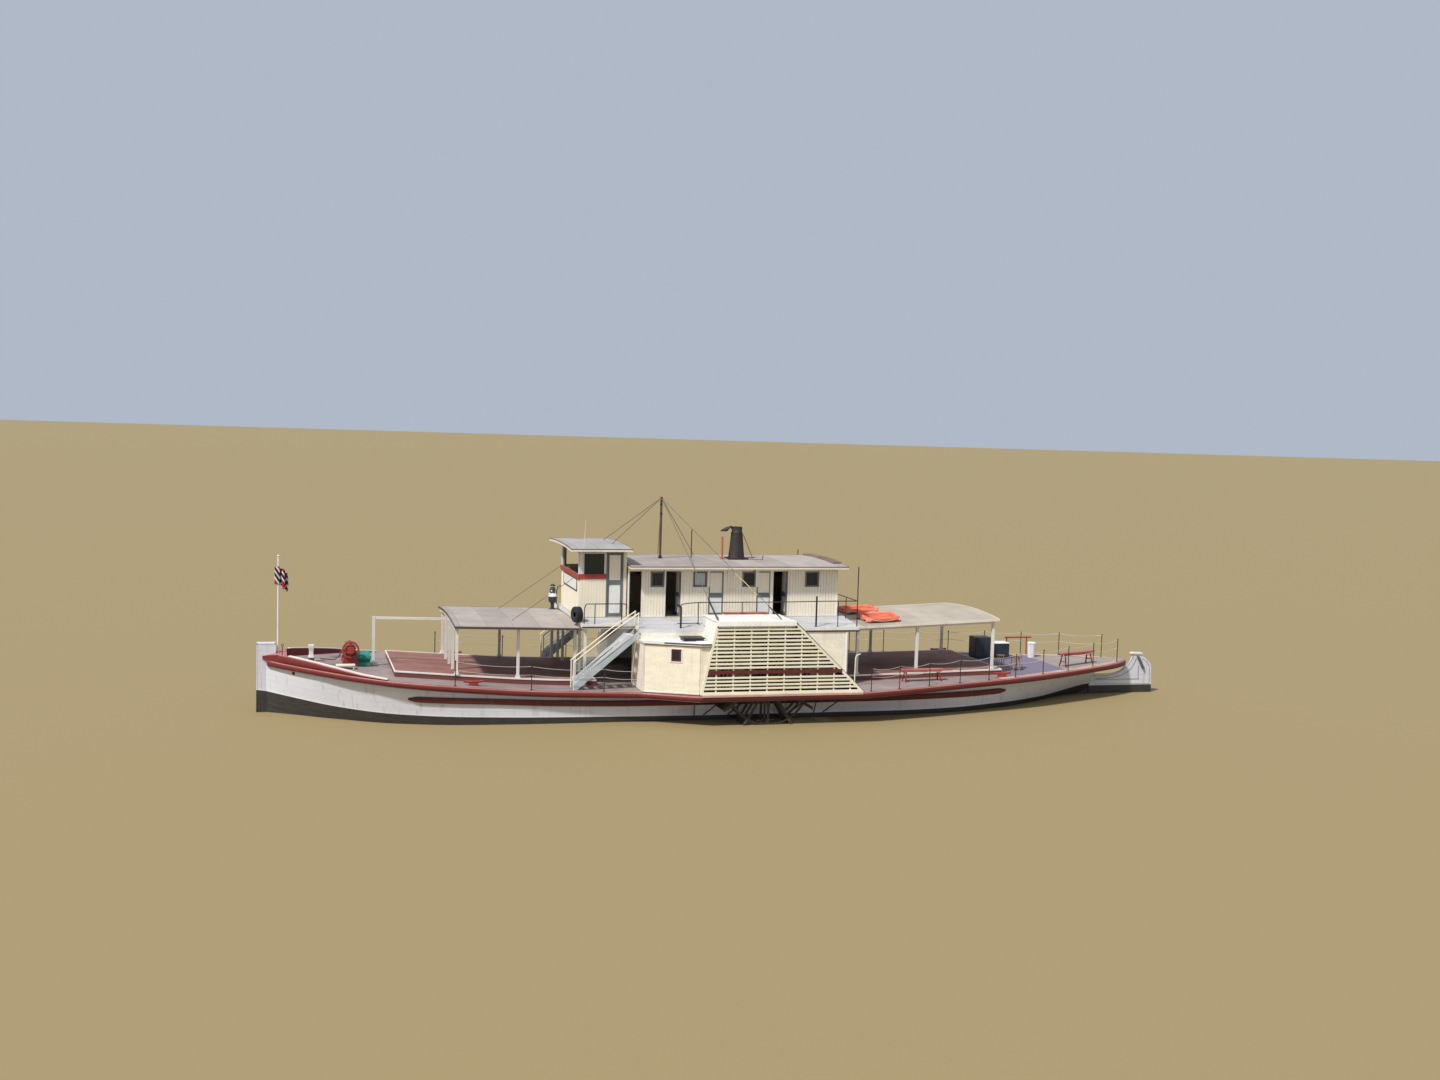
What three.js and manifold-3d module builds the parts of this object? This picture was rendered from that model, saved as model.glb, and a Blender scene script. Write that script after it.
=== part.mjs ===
// River paddle steamer, 34 m on deck, with side wheels, an upper cabin and two deck canopies.
// Millimetres. +X aft, +Y starboard, +Z up. The origin is on the centreline, at the waterline,
// half way between the stem and the tip of the stern deck.
import * as THREE from 'three';
import { mergeVertices } from 'three/addons/utils/BufferGeometryUtils.js';
import Module from 'manifold-3d';

const wasm = await Module();
wasm.setup();

// Driving dimensions
const LENGTH = 34000;
const HALF_BEAM = 3500;
const KEEL_Z = -1020;
const STEM_HALF = 160;
const STEM_LENGTH = 650;
const STEM_TOP = 2440;
const STERN_POST = 32400;
const DECK_THICK = 200;
const SEAT = 0.3;
const PORT = -1;
const STARBOARD = 1;
const SIDES = [['port', PORT], ['starboard', STARBOARD]];

// A distance aft of the stem as an X of this frame
const aft = (distance) => distance - LENGTH / 2;

// Straight-line reading of a table whose rows start with the distance aft of the stem
function read(table, distance, column) {
  const last = table.length - 1;
  let row = 1;
  while (row < last && table[row][0] < distance) row += 1;
  const [low, high] = [table[row - 1], table[row]];
  const share = (distance - low[0]) / (high[0] - low[0]);
  return low[column] + share * (high[column] - low[column]);
}

// Closed solids from three.js shapes
function solid(geometry) {
  const bare = geometry.clone();
  bare.deleteAttribute('normal');
  if (bare.getAttribute('uv')) bare.deleteAttribute('uv');
  const merged = mergeVertices(bare, 1e-3);
  const vertProperties = new Float32Array(merged.getAttribute('position').array);
  const triVerts = new Uint32Array(merged.index.array);
  return new wasm.Manifold(new wasm.Mesh({ numProp: 3, vertProperties, triVerts }));
}

const join = (pieces) => pieces.reduce((whole, piece) => whole.add(piece));

function box(x, y, z) {
  const [low, high] = [x, y, z].reduce(
    ([lows, highs], [a, b]) => [[...lows, Math.min(a, b)], [...highs, Math.max(a, b)]],
    [[], []],
  );
  const size = high.map((value, axis) => value - low[axis]);
  const geometry = new THREE.BoxGeometry(...size);
  geometry.translate(...high.map((value, axis) => (value + low[axis]) / 2));
  return solid(geometry);
}

function extrude(points, depth) {
  const shape = new THREE.Shape(points.map(([a, b]) => new THREE.Vector2(a, b)));
  return new THREE.ExtrudeGeometry(shape, { depth, bevelEnabled: false });
}

// A plate whose outline is given as x and z, between two y
function sidePlate(points, y) {
  const [low, high] = [Math.min(...y), Math.max(...y)];
  const geometry = extrude(points, high - low);
  geometry.rotateX(Math.PI / 2);
  geometry.translate(0, high, 0);
  return solid(geometry);
}

// A plate whose outline is given as y and z, between two x
function endPlate(points, x) {
  const [low, high] = [Math.min(...x), Math.max(...x)];
  const geometry = extrude(points, high - low);
  const turn = new THREE.Matrix4().makeBasis(
    new THREE.Vector3(0, 1, 0),
    new THREE.Vector3(0, 0, 1),
    new THREE.Vector3(1, 0, 0),
  );
  geometry.applyMatrix4(turn);
  geometry.translate(low, 0, 0);
  return solid(geometry);
}

// A plate whose outline is given as x and y, between two z
function floorPlate(points, z) {
  const geometry = extrude(points, z[1] - z[0]);
  geometry.translate(0, 0, z[0]);
  return solid(geometry);
}

function rod(from, to, radius, sides = 8, turn = 0) {
  const start = new THREE.Vector3(...from);
  const run = new THREE.Vector3(...to).sub(start);
  const geometry = new THREE.CylinderGeometry(radius, radius, run.length(), sides, 1, false, turn);
  geometry.translate(0, run.length() / 2, 0);
  geometry.applyQuaternion(
    new THREE.Quaternion().setFromUnitVectors(new THREE.Vector3(0, 1, 0), run.clone().normalize()),
  );
  geometry.translate(...from);
  return solid(geometry);
}

// The cutter of a hole that a pin of this radius turns in: its flats face the pin's corners at rest
const bore = (from, to, pin, sides) => rod(from, to, (pin + SEAT) / Math.cos(Math.PI / sides), sides,
  Math.PI / sides);

// A closed loft: ringAt gives the section's [y, z] points, counter-clockwise seen from aft
function loft(distances, ringAt) {
  const rings = distances.map((distance) => ringAt(distance));
  const count = rings[0].length;
  const positions = rings.flatMap((ring, i) => ring.flatMap(([y, z]) => [aft(distances[i]), y, z]));
  const index = [];
  for (let i = 0; i < rings.length - 1; i += 1) {
    for (let j = 0; j < count; j += 1) {
      const a = i * count + j;
      const b = i * count + (j + 1) % count;
      index.push(a, b, b + count, a, b + count, a + count);
    }
  }
  const capOf = (ring) => THREE.ShapeUtils.triangulateShape(ring.map((p) => new THREE.Vector2(...p)), []);
  const foot = (rings.length - 1) * count;
  capOf(rings[0]).forEach(([a, b, c]) => index.push(a, c, b));
  capOf(rings[rings.length - 1]).forEach(([a, b, c]) => index.push(foot + a, foot + b, foot + c));
  const geometry = new THREE.BufferGeometry();
  geometry.setAttribute('position', new THREE.Float32BufferAttribute(positions, 3));
  geometry.setIndex(index);
  geometry.computeVertexNormals();
  return solid(geometry);
}

// A section that is the same to port and starboard, from its starboard half, bottom to top
function mirrored(half) {
  const other = half.filter(([y]) => y > 0).reverse().map(([y, z]) => [-y, z]);
  return [...half, ...other];
}

// Distances of a table's rows that lie between two ends, and the ends themselves
function stations(table, from, to) {
  const between = table.map(([distance]) => distance).filter((d) => d > from + 1 && d < to - 1);
  return [from, ...between, to];
}

// The assembly: looks by name, and the node maker
const LOOKS = {
  hull_white: ['#d9dbdf', 0.55, 0.0],
  red_trim: ['#9c3a34', 0.6, 0.0],
  deck_grey: ['#8f8c8a', 0.8, 0.0],
  cream: ['#efe6cd', 0.65, 0.0],
  white: ['#eeeeea', 0.55, 0.0],
  roof_taupe: ['#8b847b', 0.8, 0.0],
  slat_yellow: ['#e9deb0', 0.65, 0.0],
  black_steel: ['#1d1d1f', 0.5, 0.4],
  grey_steel: ['#9aa5ab', 0.5, 0.3],
  float_orange: ['#d8573a', 0.7, 0.0],
  timber: ['#6d4a33', 0.7, 0.0],
  teal: ['#2f8f86', 0.5, 0.0],
};

const steamer = new THREE.Group();

function add(name, look, body, position = [0, 0, 0], turn = 0) {
  const mesh = body.getMesh();
  const geometry = new THREE.BufferGeometry();
  geometry.setAttribute('position', new THREE.Float32BufferAttribute(mesh.vertProperties, 3));
  geometry.setIndex(Array.from(mesh.triVerts));
  geometry.computeVertexNormals();
  const [color, roughness, metalness] = LOOKS[look];
  const node = new THREE.Mesh(geometry, new THREE.MeshStandardMaterial({ color, roughness, metalness }));
  node.name = name;
  node.position.set(...position);
  node.rotation.z = turn;
  steamer.add(node);
}

// Main deck outline with its guards: distance aft, half width, underside of the deck's edge
const DECK = [
  [350, 280, 1660],
  [1100, 1000, 1605],
  [2500, 2150, 1502],
  [3400, 2750, 1435],
  [4700, 3350, 1338],
  [6000, 3600, 1240],
  [7400, 3660, 1135],
  [8750, 3720, 1045],
  [10100, 3785, 985],
  [11500, 3850, 950],
  [12950, 4020, 930],
  [14800, 4960, 920],
  [20900, 4980, 950],
  [23000, 4500, 980],
  [25500, 3850, 1030],
  [28000, 3150, 1070],
  [30350, 2200, 1100],
  [32000, 1470, 1140],
  [33200, 850, 1160],
  [33950, 300, 1180],
];
const deckHalf = (distance) => read(DECK, distance, 1);
const deckUnder = (distance) => read(DECK, distance, 2);
const deckTop = (distance) => deckUnder(distance) + DECK_THICK;
// Where a post of this half size at a distance stands on a sloping deck
const standOn = (topAt, distance, half) => Math.max(topAt(distance - half), topAt(distance + half)) + SEAT;

// Hull: distance aft, half width at the deck, half width and height of the bilge's top corner,
// half width and height of its bottom corner, height of the bottom on the centreline
const HULL = [
  [300, 130, 120, -500, 90, -850, -900],
  [1100, 850, 560, -500, 300, -850, -920],
  [2500, 1980, 1500, -470, 1050, -850, -930],
  [4700, 3100, 2750, -450, 2250, -840, -940],
  [7000, 3440, 3350, -430, 2950, -830, -940],
  [10000, HALF_BEAM, HALF_BEAM, -430, 3150, -830, -940],
  [22000, HALF_BEAM, HALF_BEAM, -430, 3150, -830, -940],
  [25000, 3300, 3180, -380, 2650, -780, -900],
  [27500, 2750, 2420, -200, 1750, -620, -800],
  [29500, 2050, 1480, 60, 850, -330, -600],
  [31000, 1450, 760, 320, 300, -80, -350],
  [STERN_POST, 850, 260, 560, 110, 260, 60],
];
const hullRow = (distance) => [1, 2, 3, 4, 5, 6].map((column) => read(HULL, distance, column));
const hullHalf = (distance) => read(HULL, distance, 1);

function hullRing(distance) {
  const [deck, bilge, bilgeZ, bottom, bottomZ, keelZ] = hullRow(distance);
  const top = deckUnder(distance) - SEAT;
  return mirrored([[0, keelZ], [bottom, bottomZ], [bilge, bilgeZ], [deck, top]]);
}

// Keel, stem and stern post
const KEEL_HALF = 90;
const KEEL_ROOT = -780;
const SHOE_END = 32760;
const SHOE_TOP = -950;
const DEADWOOD_START = 26500;
const stemTimber = box([aft(0), aft(STEM_LENGTH)], [-STEM_HALF, STEM_HALF], [KEEL_Z, STEM_TOP]);
const keel = box([aft(STEM_LENGTH / 2), aft(STERN_POST)], [-KEEL_HALF, KEEL_HALF], [KEEL_Z, KEEL_ROOT]);
const shoe = box([aft(STERN_POST - 200), aft(SHOE_END)], [-KEEL_HALF, KEEL_HALF], [KEEL_Z, SHOE_TOP]);
const deadwood = sidePlate([
  [aft(DEADWOOD_START), KEEL_ROOT - 100],
  [aft(STERN_POST), KEEL_ROOT - 100],
  [aft(STERN_POST), deckUnder(STERN_POST) - 2 * SEAT],
  [aft(STERN_POST - 900), deckUnder(STERN_POST - 900) - 300],
], [-KEEL_HALF, KEEL_HALF]);

// Wale: the rubbing timber along each side, as distance aft and height of its underside
const WALE = [[5000, 800], [7400, 735], [10200, 620], [13000, 560], [20000, 550], [25300, 570], [27500, 590]];
const WALE_SIZE = { deep: 200, proud: 80, sunk: 60 };

// Half width of the hull's side at a height between the bilge and the deck
function sideHalf(distance, z) {
  const [deck, bilge, bilgeZ] = hullRow(distance);
  return bilge + (z - bilgeZ) / (deckUnder(distance) - bilgeZ) * (deck - bilge);
}

function wale(side) {
  const marks = stations([...HULL, ...WALE].sort((a, b) => a[0] - b[0]), WALE[0][0], WALE[6][0]);
  return loft(marks, (distance) => {
    const low = read(WALE, distance, 1);
    const half = sideHalf(distance, low + WALE_SIZE.deep / 2);
    const across = [side * (half - WALE_SIZE.sunk), side * (half + WALE_SIZE.proud)].sort((a, b) => a - b);
    const levels = [low, low + WALE_SIZE.deep];
    return [[across[0], levels[0]], [across[1], levels[0]], [across[1], levels[1]], [across[0], levels[1]]];
  });
}

const hullBody = loft(stations([...HULL, ...DECK].sort((a, b) => a[0] - b[0]), 300, STERN_POST), hullRing);
add('hull', 'hull_white', join([hullBody, stemTimber, keel, shoe, deadwood, wale(PORT), wale(STARBOARD)]));

// Paddle shaft and wheels
const WHEEL = {
  centre: 17400,
  shaftZ: 1500,
  radius: 1930,
  inner: 3660,
  outer: 4700,
  floats: 12,
  floatDepth: 420,
  floatThick: 45,
  rimRadius: 1500,
  rimDepth: 110,
  rimThick: 30,
  hub: 300,
  arm: 80,
};
const SHAFT = { radius: 110, end: 4840, sides: 16 };

// Main deck with a well for each wheel, a bearing block outboard of it and a slot round the stem
const WELL = { half: 1960, inner: 3620, outer: 4780 };
const BEARING = { half: 190, inner: 4735, outer: 4850, top: 1700 };

function bearing(side) {
  const seat = deckTop(WHEEL.centre) - 60;
  const block = box(
    [aft(WHEEL.centre) - BEARING.half, aft(WHEEL.centre) + BEARING.half],
    [side * BEARING.inner, side * BEARING.outer],
    [seat, BEARING.top],
  );
  const hole = bore(
    [aft(WHEEL.centre), 4000, WHEEL.shaftZ],
    [aft(WHEEL.centre), 5200, WHEEL.shaftZ],
    SHAFT.radius,
    SHAFT.sides,
  );
  return block.subtract(side > 0 ? hole : hole.mirror([0, 1, 0]));
}

function well(side) {
  return box(
    [aft(WHEEL.centre - WELL.half), aft(WHEEL.centre + WELL.half)],
    [side * WELL.inner, side * WELL.outer],
    [0, 2000],
  );
}

const stemSlot = box(
  [aft(-100), aft(STEM_LENGTH + SEAT)],
  [-STEM_HALF - SEAT, STEM_HALF + SEAT],
  [0, 3000],
);
const deckPlate = loft(DECK.map(([distance]) => distance), (distance) => {
  const half = deckHalf(distance);
  return mirrored([[0, deckUnder(distance)], [half, deckUnder(distance)], [half, deckTop(distance)],
    [0, deckTop(distance)]]);
});
const deckCut = [well(PORT), well(STARBOARD), stemSlot].reduce((deck, cut) => deck.subtract(cut), deckPlate);
add('main_deck', 'red_trim', join([deckCut, bearing(PORT), bearing(STARBOARD)]));

// Bulwark round the bow: distance aft, height above the deck
const BULWARK = [
  [STEM_LENGTH + 20, 250],
  [1100, 280],
  [1900, 235],
  [2700, 165],
  [3500, 75],
  [4300, 30],
];
const BULWARK_END = BULWARK[BULWARK.length - 1][0];
const BULWARK_THICK = 110;

function bulwarkBlock(from, inset, below, above) {
  const marks = stations([...BULWARK, ...DECK].sort((a, b) => a[0] - b[0]), from, BULWARK_END + above);
  return loft(marks, (distance) => {
    const half = deckHalf(distance) - inset;
    const [low, high] = [deckTop(distance) + SEAT - below, deckTop(distance) + read(BULWARK, distance, 1)];
    return mirrored([[0, low], [half, low], [half, high + above], [0, high + above]]);
  });
}

const bulwark = bulwarkBlock(BULWARK[0][0], 0, 0, 0)
  .subtract(bulwarkBlock(BULWARK[0][0] + 350, BULWARK_THICK, 50, 50));
add('bulwark', 'red_trim', bulwark);

// Raised hold decks inboard of the guards: from, to, half width at each end, height
const HOLD_DECKS = {
  hold_deck_fore: { from: 4600, to: 11600, halves: [2350, 2600], rise: 200 },
  hold_deck_aft: { from: 21100, to: 27400, halves: [2600, 2450], rise: 200 },
};

for (const [name, hold] of Object.entries(HOLD_DECKS)) {
  const halfAt = (d) => hold.halves[0]
    + (d - hold.from) / (hold.to - hold.from) * (hold.halves[1] - hold.halves[0]);
  add(name, 'deck_grey', loft(stations(DECK, hold.from, hold.to), (distance) => {
    const [low, high] = [deckTop(distance) + SEAT, deckTop(distance) + hold.rise];
    return mirrored([[0, low], [halfAt(distance), low], [halfAt(distance), high], [0, high]]);
  }));
}

const holdTop = (distance) => deckTop(distance) + HOLD_DECKS.hold_deck_fore.rise;

// Upper deck: flat in the middle, sloping to its edges
const UPPER = {
  from: 11000,
  step: 12900,
  to: 21100,
  foreHalf: 2900,
  half: 3580,
  flat: 2000,
  top: 3480,
  edge: 3300,
  thick: 140,
};
const upperTop = (y) => UPPER.top
  - Math.max(0, Math.abs(y) - UPPER.flat) / (UPPER.half - UPPER.flat) * (UPPER.top - UPPER.edge);

function upperRing(half) {
  const under = (y) => upperTop(y) - UPPER.thick;
  return mirrored([[0, under(0)], [UPPER.flat, under(0)], [half, under(half)], [half, upperTop(half)],
    [UPPER.flat, UPPER.top], [0, UPPER.top]]);
}

const upperDeck = join([
  endPlate(upperRing(UPPER.foreHalf), [aft(UPPER.from), aft(UPPER.step + 50)]),
  endPlate(upperRing(UPPER.half), [aft(UPPER.step), aft(UPPER.to)]),
]);
add('upper_deck', 'white', upperDeck);

// Frame that carries the upper deck: two long beams, cross beams, posts at both ends
const DECK_FRAME = { beam: 120, post: 90, longY: 1700, ends: [11150, 20950], postY: [1700, 2750] };
const frameTop = upperTop(UPPER.foreHalf) - UPPER.thick - SEAT;

function deckFrame() {
  const { beam, post, longY, ends, postY } = DECK_FRAME;
  const half = UPPER.foreHalf - 60;
  const levels = [frameTop - beam, frameTop];
  const longs = SIDES.map(([, side]) => box(
    [aft(ends[0]), aft(ends[1])],
    [side * (longY - beam / 2), side * (longY + beam / 2)],
    levels,
  ));
  const crosses = ends.map((d) => box([aft(d) - beam / 2, aft(d) + beam / 2], [-half, half], levels));
  const posts = ends.flatMap((d) => SIDES.flatMap(([, side]) => postY.map((y) => {
    const onHold = d < 11600 || d > 21100;
    const foot = standOn(onHold && y < 2400 ? holdTop : deckTop, d, post / 2);
    return box(
      [aft(d) - post / 2, aft(d) + post / 2],
      [side * (y - post / 2), side * (y + post / 2)],
      [foot, frameTop - beam / 2],
    );
  })));
  return join([...longs, ...crosses, ...posts]);
}

add('upper_deck_frame', 'white', deckFrame());

// Side houses: a hollow room under the upper deck's edge, and a lower room angled along the guard
const HOUSE = {
  from: 12970,
  to: 20650,
  outer: 3580,
  inner: 2200,
  wall: 60,
  top: UPPER.edge - UPPER.thick - SEAT,
  shaftHole: 180,
};
const WING = { to: 14790, cornerFore: 4000, cornerAft: 4880, top: 2940, roof: 60, eave: 60 };
const WING_WINDOW = { from: 13870, to: 14190, low: 2280, high: 2710 };

function sideHouse(side) {
  const foot = deckTop(HOUSE.to) + SEAT;
  const [x0, x1, y0, y1] = [aft(HOUSE.from), aft(HOUSE.to), side * HOUSE.inner, side * HOUSE.outer];
  const walls = [
    box([x0, x1], [y1, y1 - side * HOUSE.wall], [foot, HOUSE.top]),
    box([x0, x0 + HOUSE.wall], [y0, y1], [foot, HOUSE.top]),
    box([x1 - HOUSE.wall, x1], [y0, y1], [foot, HOUSE.top]),
  ];
  const plan = [
    [x0, y1 - side * 10],
    [x0, side * WING.cornerFore],
    [aft(WING.to), side * WING.cornerAft],
    [aft(WING.to), y1 - side * 10],
  ];
  const inside = [
    [x0 + HOUSE.wall, y1 - side * 100],
    [x0 + HOUSE.wall, side * (WING.cornerFore - HOUSE.wall / 2)],
    [aft(WING.to) - HOUSE.wall, side * (WING.cornerAft - HOUSE.wall * 1.6)],
    [aft(WING.to) - HOUSE.wall, y1 - side * 100],
  ];
  const roofPlan = [
    [x0 - WING.eave, y1 - side * 10],
    [x0 - WING.eave, side * (WING.cornerFore + WING.eave)],
    [aft(WING.to), side * (WING.cornerAft + WING.eave)],
    [aft(WING.to), y1 - side * 10],
  ];
  const shell = floorPlate(plan, [foot, WING.top - WING.roof / 2])
    .subtract(floorPlate(inside, [foot - 50, WING.top - WING.roof]));
  const window = box(
    [aft(WING_WINDOW.from), aft(WING_WINDOW.to)],
    [side * 4100, side * 5000],
    [WING_WINDOW.low, WING_WINDOW.high],
  );
  const hole = rod(
    [aft(WHEEL.centre), side * 2000, WHEEL.shaftZ],
    [aft(WHEEL.centre), side * 4000, WHEEL.shaftZ],
    HOUSE.shaftHole,
    12,
  );
  const roof = floorPlate(roofPlan, [WING.top - WING.roof, WING.top]);
  return join([...walls, shell, roof]).subtract(window).subtract(hole);
}

// Paddle boxes: end plates, roof and a coaming where the roof runs in over the upper deck
const BOX = {
  bottomFore: 14820,
  bottomAft: 20860,
  topFore: 15360,
  topAft: 18200,
  roofZ: 3700,
  roof: 80,
  plate: 55,
  inboard: 3000,
  outer: 4860,
};
const boxFoot = deckTop(BOX.bottomAft) + SEAT;
const boxUnder = BOX.roofZ - BOX.roof;

// Distance aft of the paddle box's fore or aft edge at a height
const edgeFore = (z) => BOX.bottomFore
  + (z - boxFoot) / (BOX.roofZ - boxFoot) * (BOX.topFore - BOX.bottomFore);
const edgeAft = (z) => BOX.bottomAft - (z - boxFoot) / (BOX.roofZ - boxFoot) * (BOX.bottomAft - BOX.topAft);

function paddleBox(side) {
  const inner = UPPER.half + SEAT;
  const levels = [boxFoot, BOX.roofZ - 20];
  const fore = sidePlate([
    [aft(edgeFore(levels[0])), levels[0]],
    [aft(edgeFore(levels[0])) + BOX.plate, levels[0]],
    [aft(edgeFore(levels[1])) + BOX.plate, levels[1]],
    [aft(edgeFore(levels[1])), levels[1]],
  ], [side * inner, side * BOX.outer]);
  const sloped = BOX.plate * 1.5;
  const back = sidePlate([
    [aft(edgeAft(levels[0])) - sloped, levels[0]],
    [aft(edgeAft(levels[0])), levels[0]],
    [aft(edgeAft(levels[1])), levels[1]],
    [aft(edgeAft(levels[1])) - sloped, levels[1]],
  ], [side * inner, side * BOX.outer]);
  const roof = box(
    [aft(BOX.topFore), aft(BOX.topAft)],
    [side * BOX.inboard, side * BOX.outer],
    [boxUnder, BOX.roofZ],
  );
  const sill = (y) => upperTop(y) + SEAT;
  const cheek = (x) => endPlate([
    [side * BOX.inboard, sill(BOX.inboard)],
    [side * (inner + 30), sill(BOX.inboard)],
    [side * (inner + 30), boxUnder + 20],
    [side * BOX.inboard, boxUnder + 20],
  ], [x, x + BOX.plate]);
  const inboard = box(
    [aft(BOX.topFore), aft(BOX.topAft)],
    [side * BOX.inboard, side * (BOX.inboard + BOX.plate)],
    [sill(BOX.inboard), boxUnder + 20],
  );
  return join([fore, back, roof, inboard, cheek(aft(BOX.topFore)), cheek(aft(BOX.topAft) - BOX.plate)]);
}

// The slatted face of each paddle box
const FACE = {
  front: 4940,
  slat: 26,
  batten: 45,
  battenWide: 70,
  battenPitch: 1800,
  edge: 90,
  pitch: 127,
  open: 54,
  bandLow: 1890,
  bandHigh: 2070,
  boardsTop: 1330,
};

function paddleFace(side) {
  const outline = (inset) => [
    [aft(edgeFore(boxFoot)) + inset, boxFoot],
    [aft(edgeAft(boxFoot)) - inset, boxFoot],
    [aft(edgeAft(BOX.roofZ)) - inset, BOX.roofZ],
    [aft(edgeFore(BOX.roofZ)) + inset, BOX.roofZ],
  ];
  const front = [side * (FACE.front - FACE.slat), side * FACE.front];
  const back = [side * (FACE.front - FACE.slat + 4), side * (FACE.front - FACE.slat - FACE.batten)];
  const span = [aft(BOX.bottomFore), aft(BOX.bottomAft)];
  const strips = [[boxFoot, FACE.boardsTop], [FACE.bandLow, FACE.bandHigh]];
  for (let z = FACE.boardsTop + FACE.open; z + FACE.pitch < FACE.bandLow + 60; z += FACE.pitch) {
    strips.push([z, z + FACE.pitch - FACE.open]);
  }
  for (let z = FACE.bandHigh + FACE.open; z + FACE.pitch < BOX.roofZ + 60; z += FACE.pitch) {
    strips.push([z, Math.min(z + FACE.pitch - FACE.open, BOX.roofZ)]);
  }
  const slats = strips.map((z) => box(span, front, z));
  const battens = [];
  for (let d = BOX.bottomFore + 700; d < BOX.bottomAft - 600; d += FACE.battenPitch) {
    battens.push(box([aft(d), aft(d) + FACE.battenWide], back, [boxFoot, BOX.roofZ]));
  }
  const frame = sidePlate(outline(0), front.concat(back).slice(0, 2))
    .subtract(sidePlate(outline(FACE.edge), [side * 4000, side * 5500]));
  const trim = sidePlate(outline(0), [side * 4000, side * 5500]);
  return join([...slats, ...battens]).intersect(trim).add(frame);
}

for (const [name, side] of SIDES) {
  add(`side_house_${name}`, 'cream', sideHouse(side));
  add(`paddle_box_${name}`, 'white', paddleBox(side));
  add(`paddle_face_${name}`, 'slat_yellow', paddleFace(side));
}

// Wheels: made about their own centre, with the shaft along Y
const hubPlace = [aft(WHEEL.centre), 0, WHEEL.shaftZ];

function spin(body, angle) {
  const mesh = body.getMesh();
  const geometry = new THREE.BufferGeometry();
  geometry.setAttribute('position', new THREE.Float32BufferAttribute(mesh.vertProperties, 3));
  geometry.setIndex(Array.from(mesh.triVerts));
  geometry.computeVertexNormals();
  geometry.rotateY(angle);
  return solid(geometry);
}

function ring(outer, inner, y, sides) {
  const disc = rod([0, y[0], 0], [0, y[1], 0], outer, sides);
  return disc.subtract(rod([0, y[0] - 10, 0], [0, y[1] + 10, 0], inner, sides));
}

function paddleWheel(side) {
  const [inner, outer] = [Math.min(side * WHEEL.inner, side * WHEEL.outer),
    Math.max(side * WHEEL.inner, side * WHEEL.outer)];
  const planes = [[inner + 120, inner + 120 + WHEEL.rimThick], [outer - 120 - WHEEL.rimThick, outer - 120]];
  const hub = rod([0, inner + 60, 0], [0, outer - 60, 0], WHEEL.hub, 12)
    .subtract(rod([0, inner, 0], [0, outer, 0], SHAFT.radius + SEAT, SHAFT.sides));
  const pieces = [hub];
  for (const plane of planes) {
    pieces.push(ring(WHEEL.rimRadius, WHEEL.rimRadius - WHEEL.rimDepth, plane, WHEEL.floats));
  }
  const float = box(
    [-WHEEL.floatThick / 2, WHEEL.floatThick / 2],
    [inner, outer],
    [WHEEL.radius - WHEEL.floatDepth, WHEEL.radius - 6],
  );
  const arms = planes.map((plane) => box(
    [-WHEEL.arm / 2, WHEEL.arm / 2],
    [plane[0] + 4, plane[1] - 4],
    [WHEEL.hub - 30, WHEEL.radius - 60],
  ));
  const spoke = join([float, ...arms]);
  for (let i = 0; i < WHEEL.floats; i += 1) {
    pieces.push(spin(spoke, (i + 0.5) * 2 * Math.PI / WHEEL.floats));
  }
  return join(pieces);
}

const shaft = rod([0, -SHAFT.end, 0], [0, SHAFT.end, 0], SHAFT.radius, SHAFT.sides);
add('paddle_shaft', 'black_steel', shaft, hubPlace);
for (const [name, side] of SIDES) {
  add(`paddle_wheel_${name}`, 'black_steel', paddleWheel(side), hubPlace);
}

// Boiler forward of the shaft, engine block aft of it, on one bed
const MACHINERY = {
  bed: [13500, 20300],
  bedHalf: 700,
  bedTop: 1290,
  boiler: [13700, 16900],
  boilerRadius: 720,
  boilerZ: 2080,
  saddleInset: 300,
  saddleHalf: 500,
  sunk: 20,
  smokebox: [16700, 17900, 1900, 2900, 450],
  engine: [18200, 20200, 2150, 650],
};

function machinery() {
  const m = MACHINERY;
  const floor = deckTop(m.bed[1]) + SEAT;
  const bed = box([aft(m.bed[0]), aft(m.bed[1])], [-m.bedHalf, m.bedHalf], [floor, m.bedTop]);
  const boiler = rod([aft(m.boiler[0]), 0, m.boilerZ], [aft(m.boiler[1]), 0, m.boilerZ], m.boilerRadius, 16);
  const saddle = box(
    [aft(m.boiler[0] + m.saddleInset), aft(m.boiler[1] - m.saddleInset)],
    [-m.saddleHalf, m.saddleHalf],
    [m.bedTop - m.sunk, m.boilerZ],
  );
  const [x0, x1, z0, z1, half] = m.smokebox;
  const smokebox = box([aft(x0), aft(x1)], [-half, half], [z0, z1]);
  const engine = box([aft(m.engine[0]), aft(m.engine[1])], [-m.engine[3], m.engine[3]],
    [m.bedTop - m.sunk, m.engine[2]]);
  return join([bed, boiler, saddle, smokebox, engine]);
}

add('boiler_and_engine', 'black_steel', machinery());

// Upper cabin: openings in each side wall as from, to, low, high; doors reach the sill
const CABIN = { from: 12820, to: 20810, half: 1900, wall: 60, sill: 3520, doorTop: 5160 };
const CABIN_ROOF = { from: 12830, to: 21080, half: 2360, crown: 5450, eave: 5370, thick: 80 };
const WINDOWS = {
  port: [[13710, 14130], [15300, 15730], [17160, 17590], [19590, 20040]],
  starboard: [[13710, 14130], [15300, 15730], [17160, 17590], [19590, 20040]],
};
const WINDOW_Z = [4630, 5110];
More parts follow.
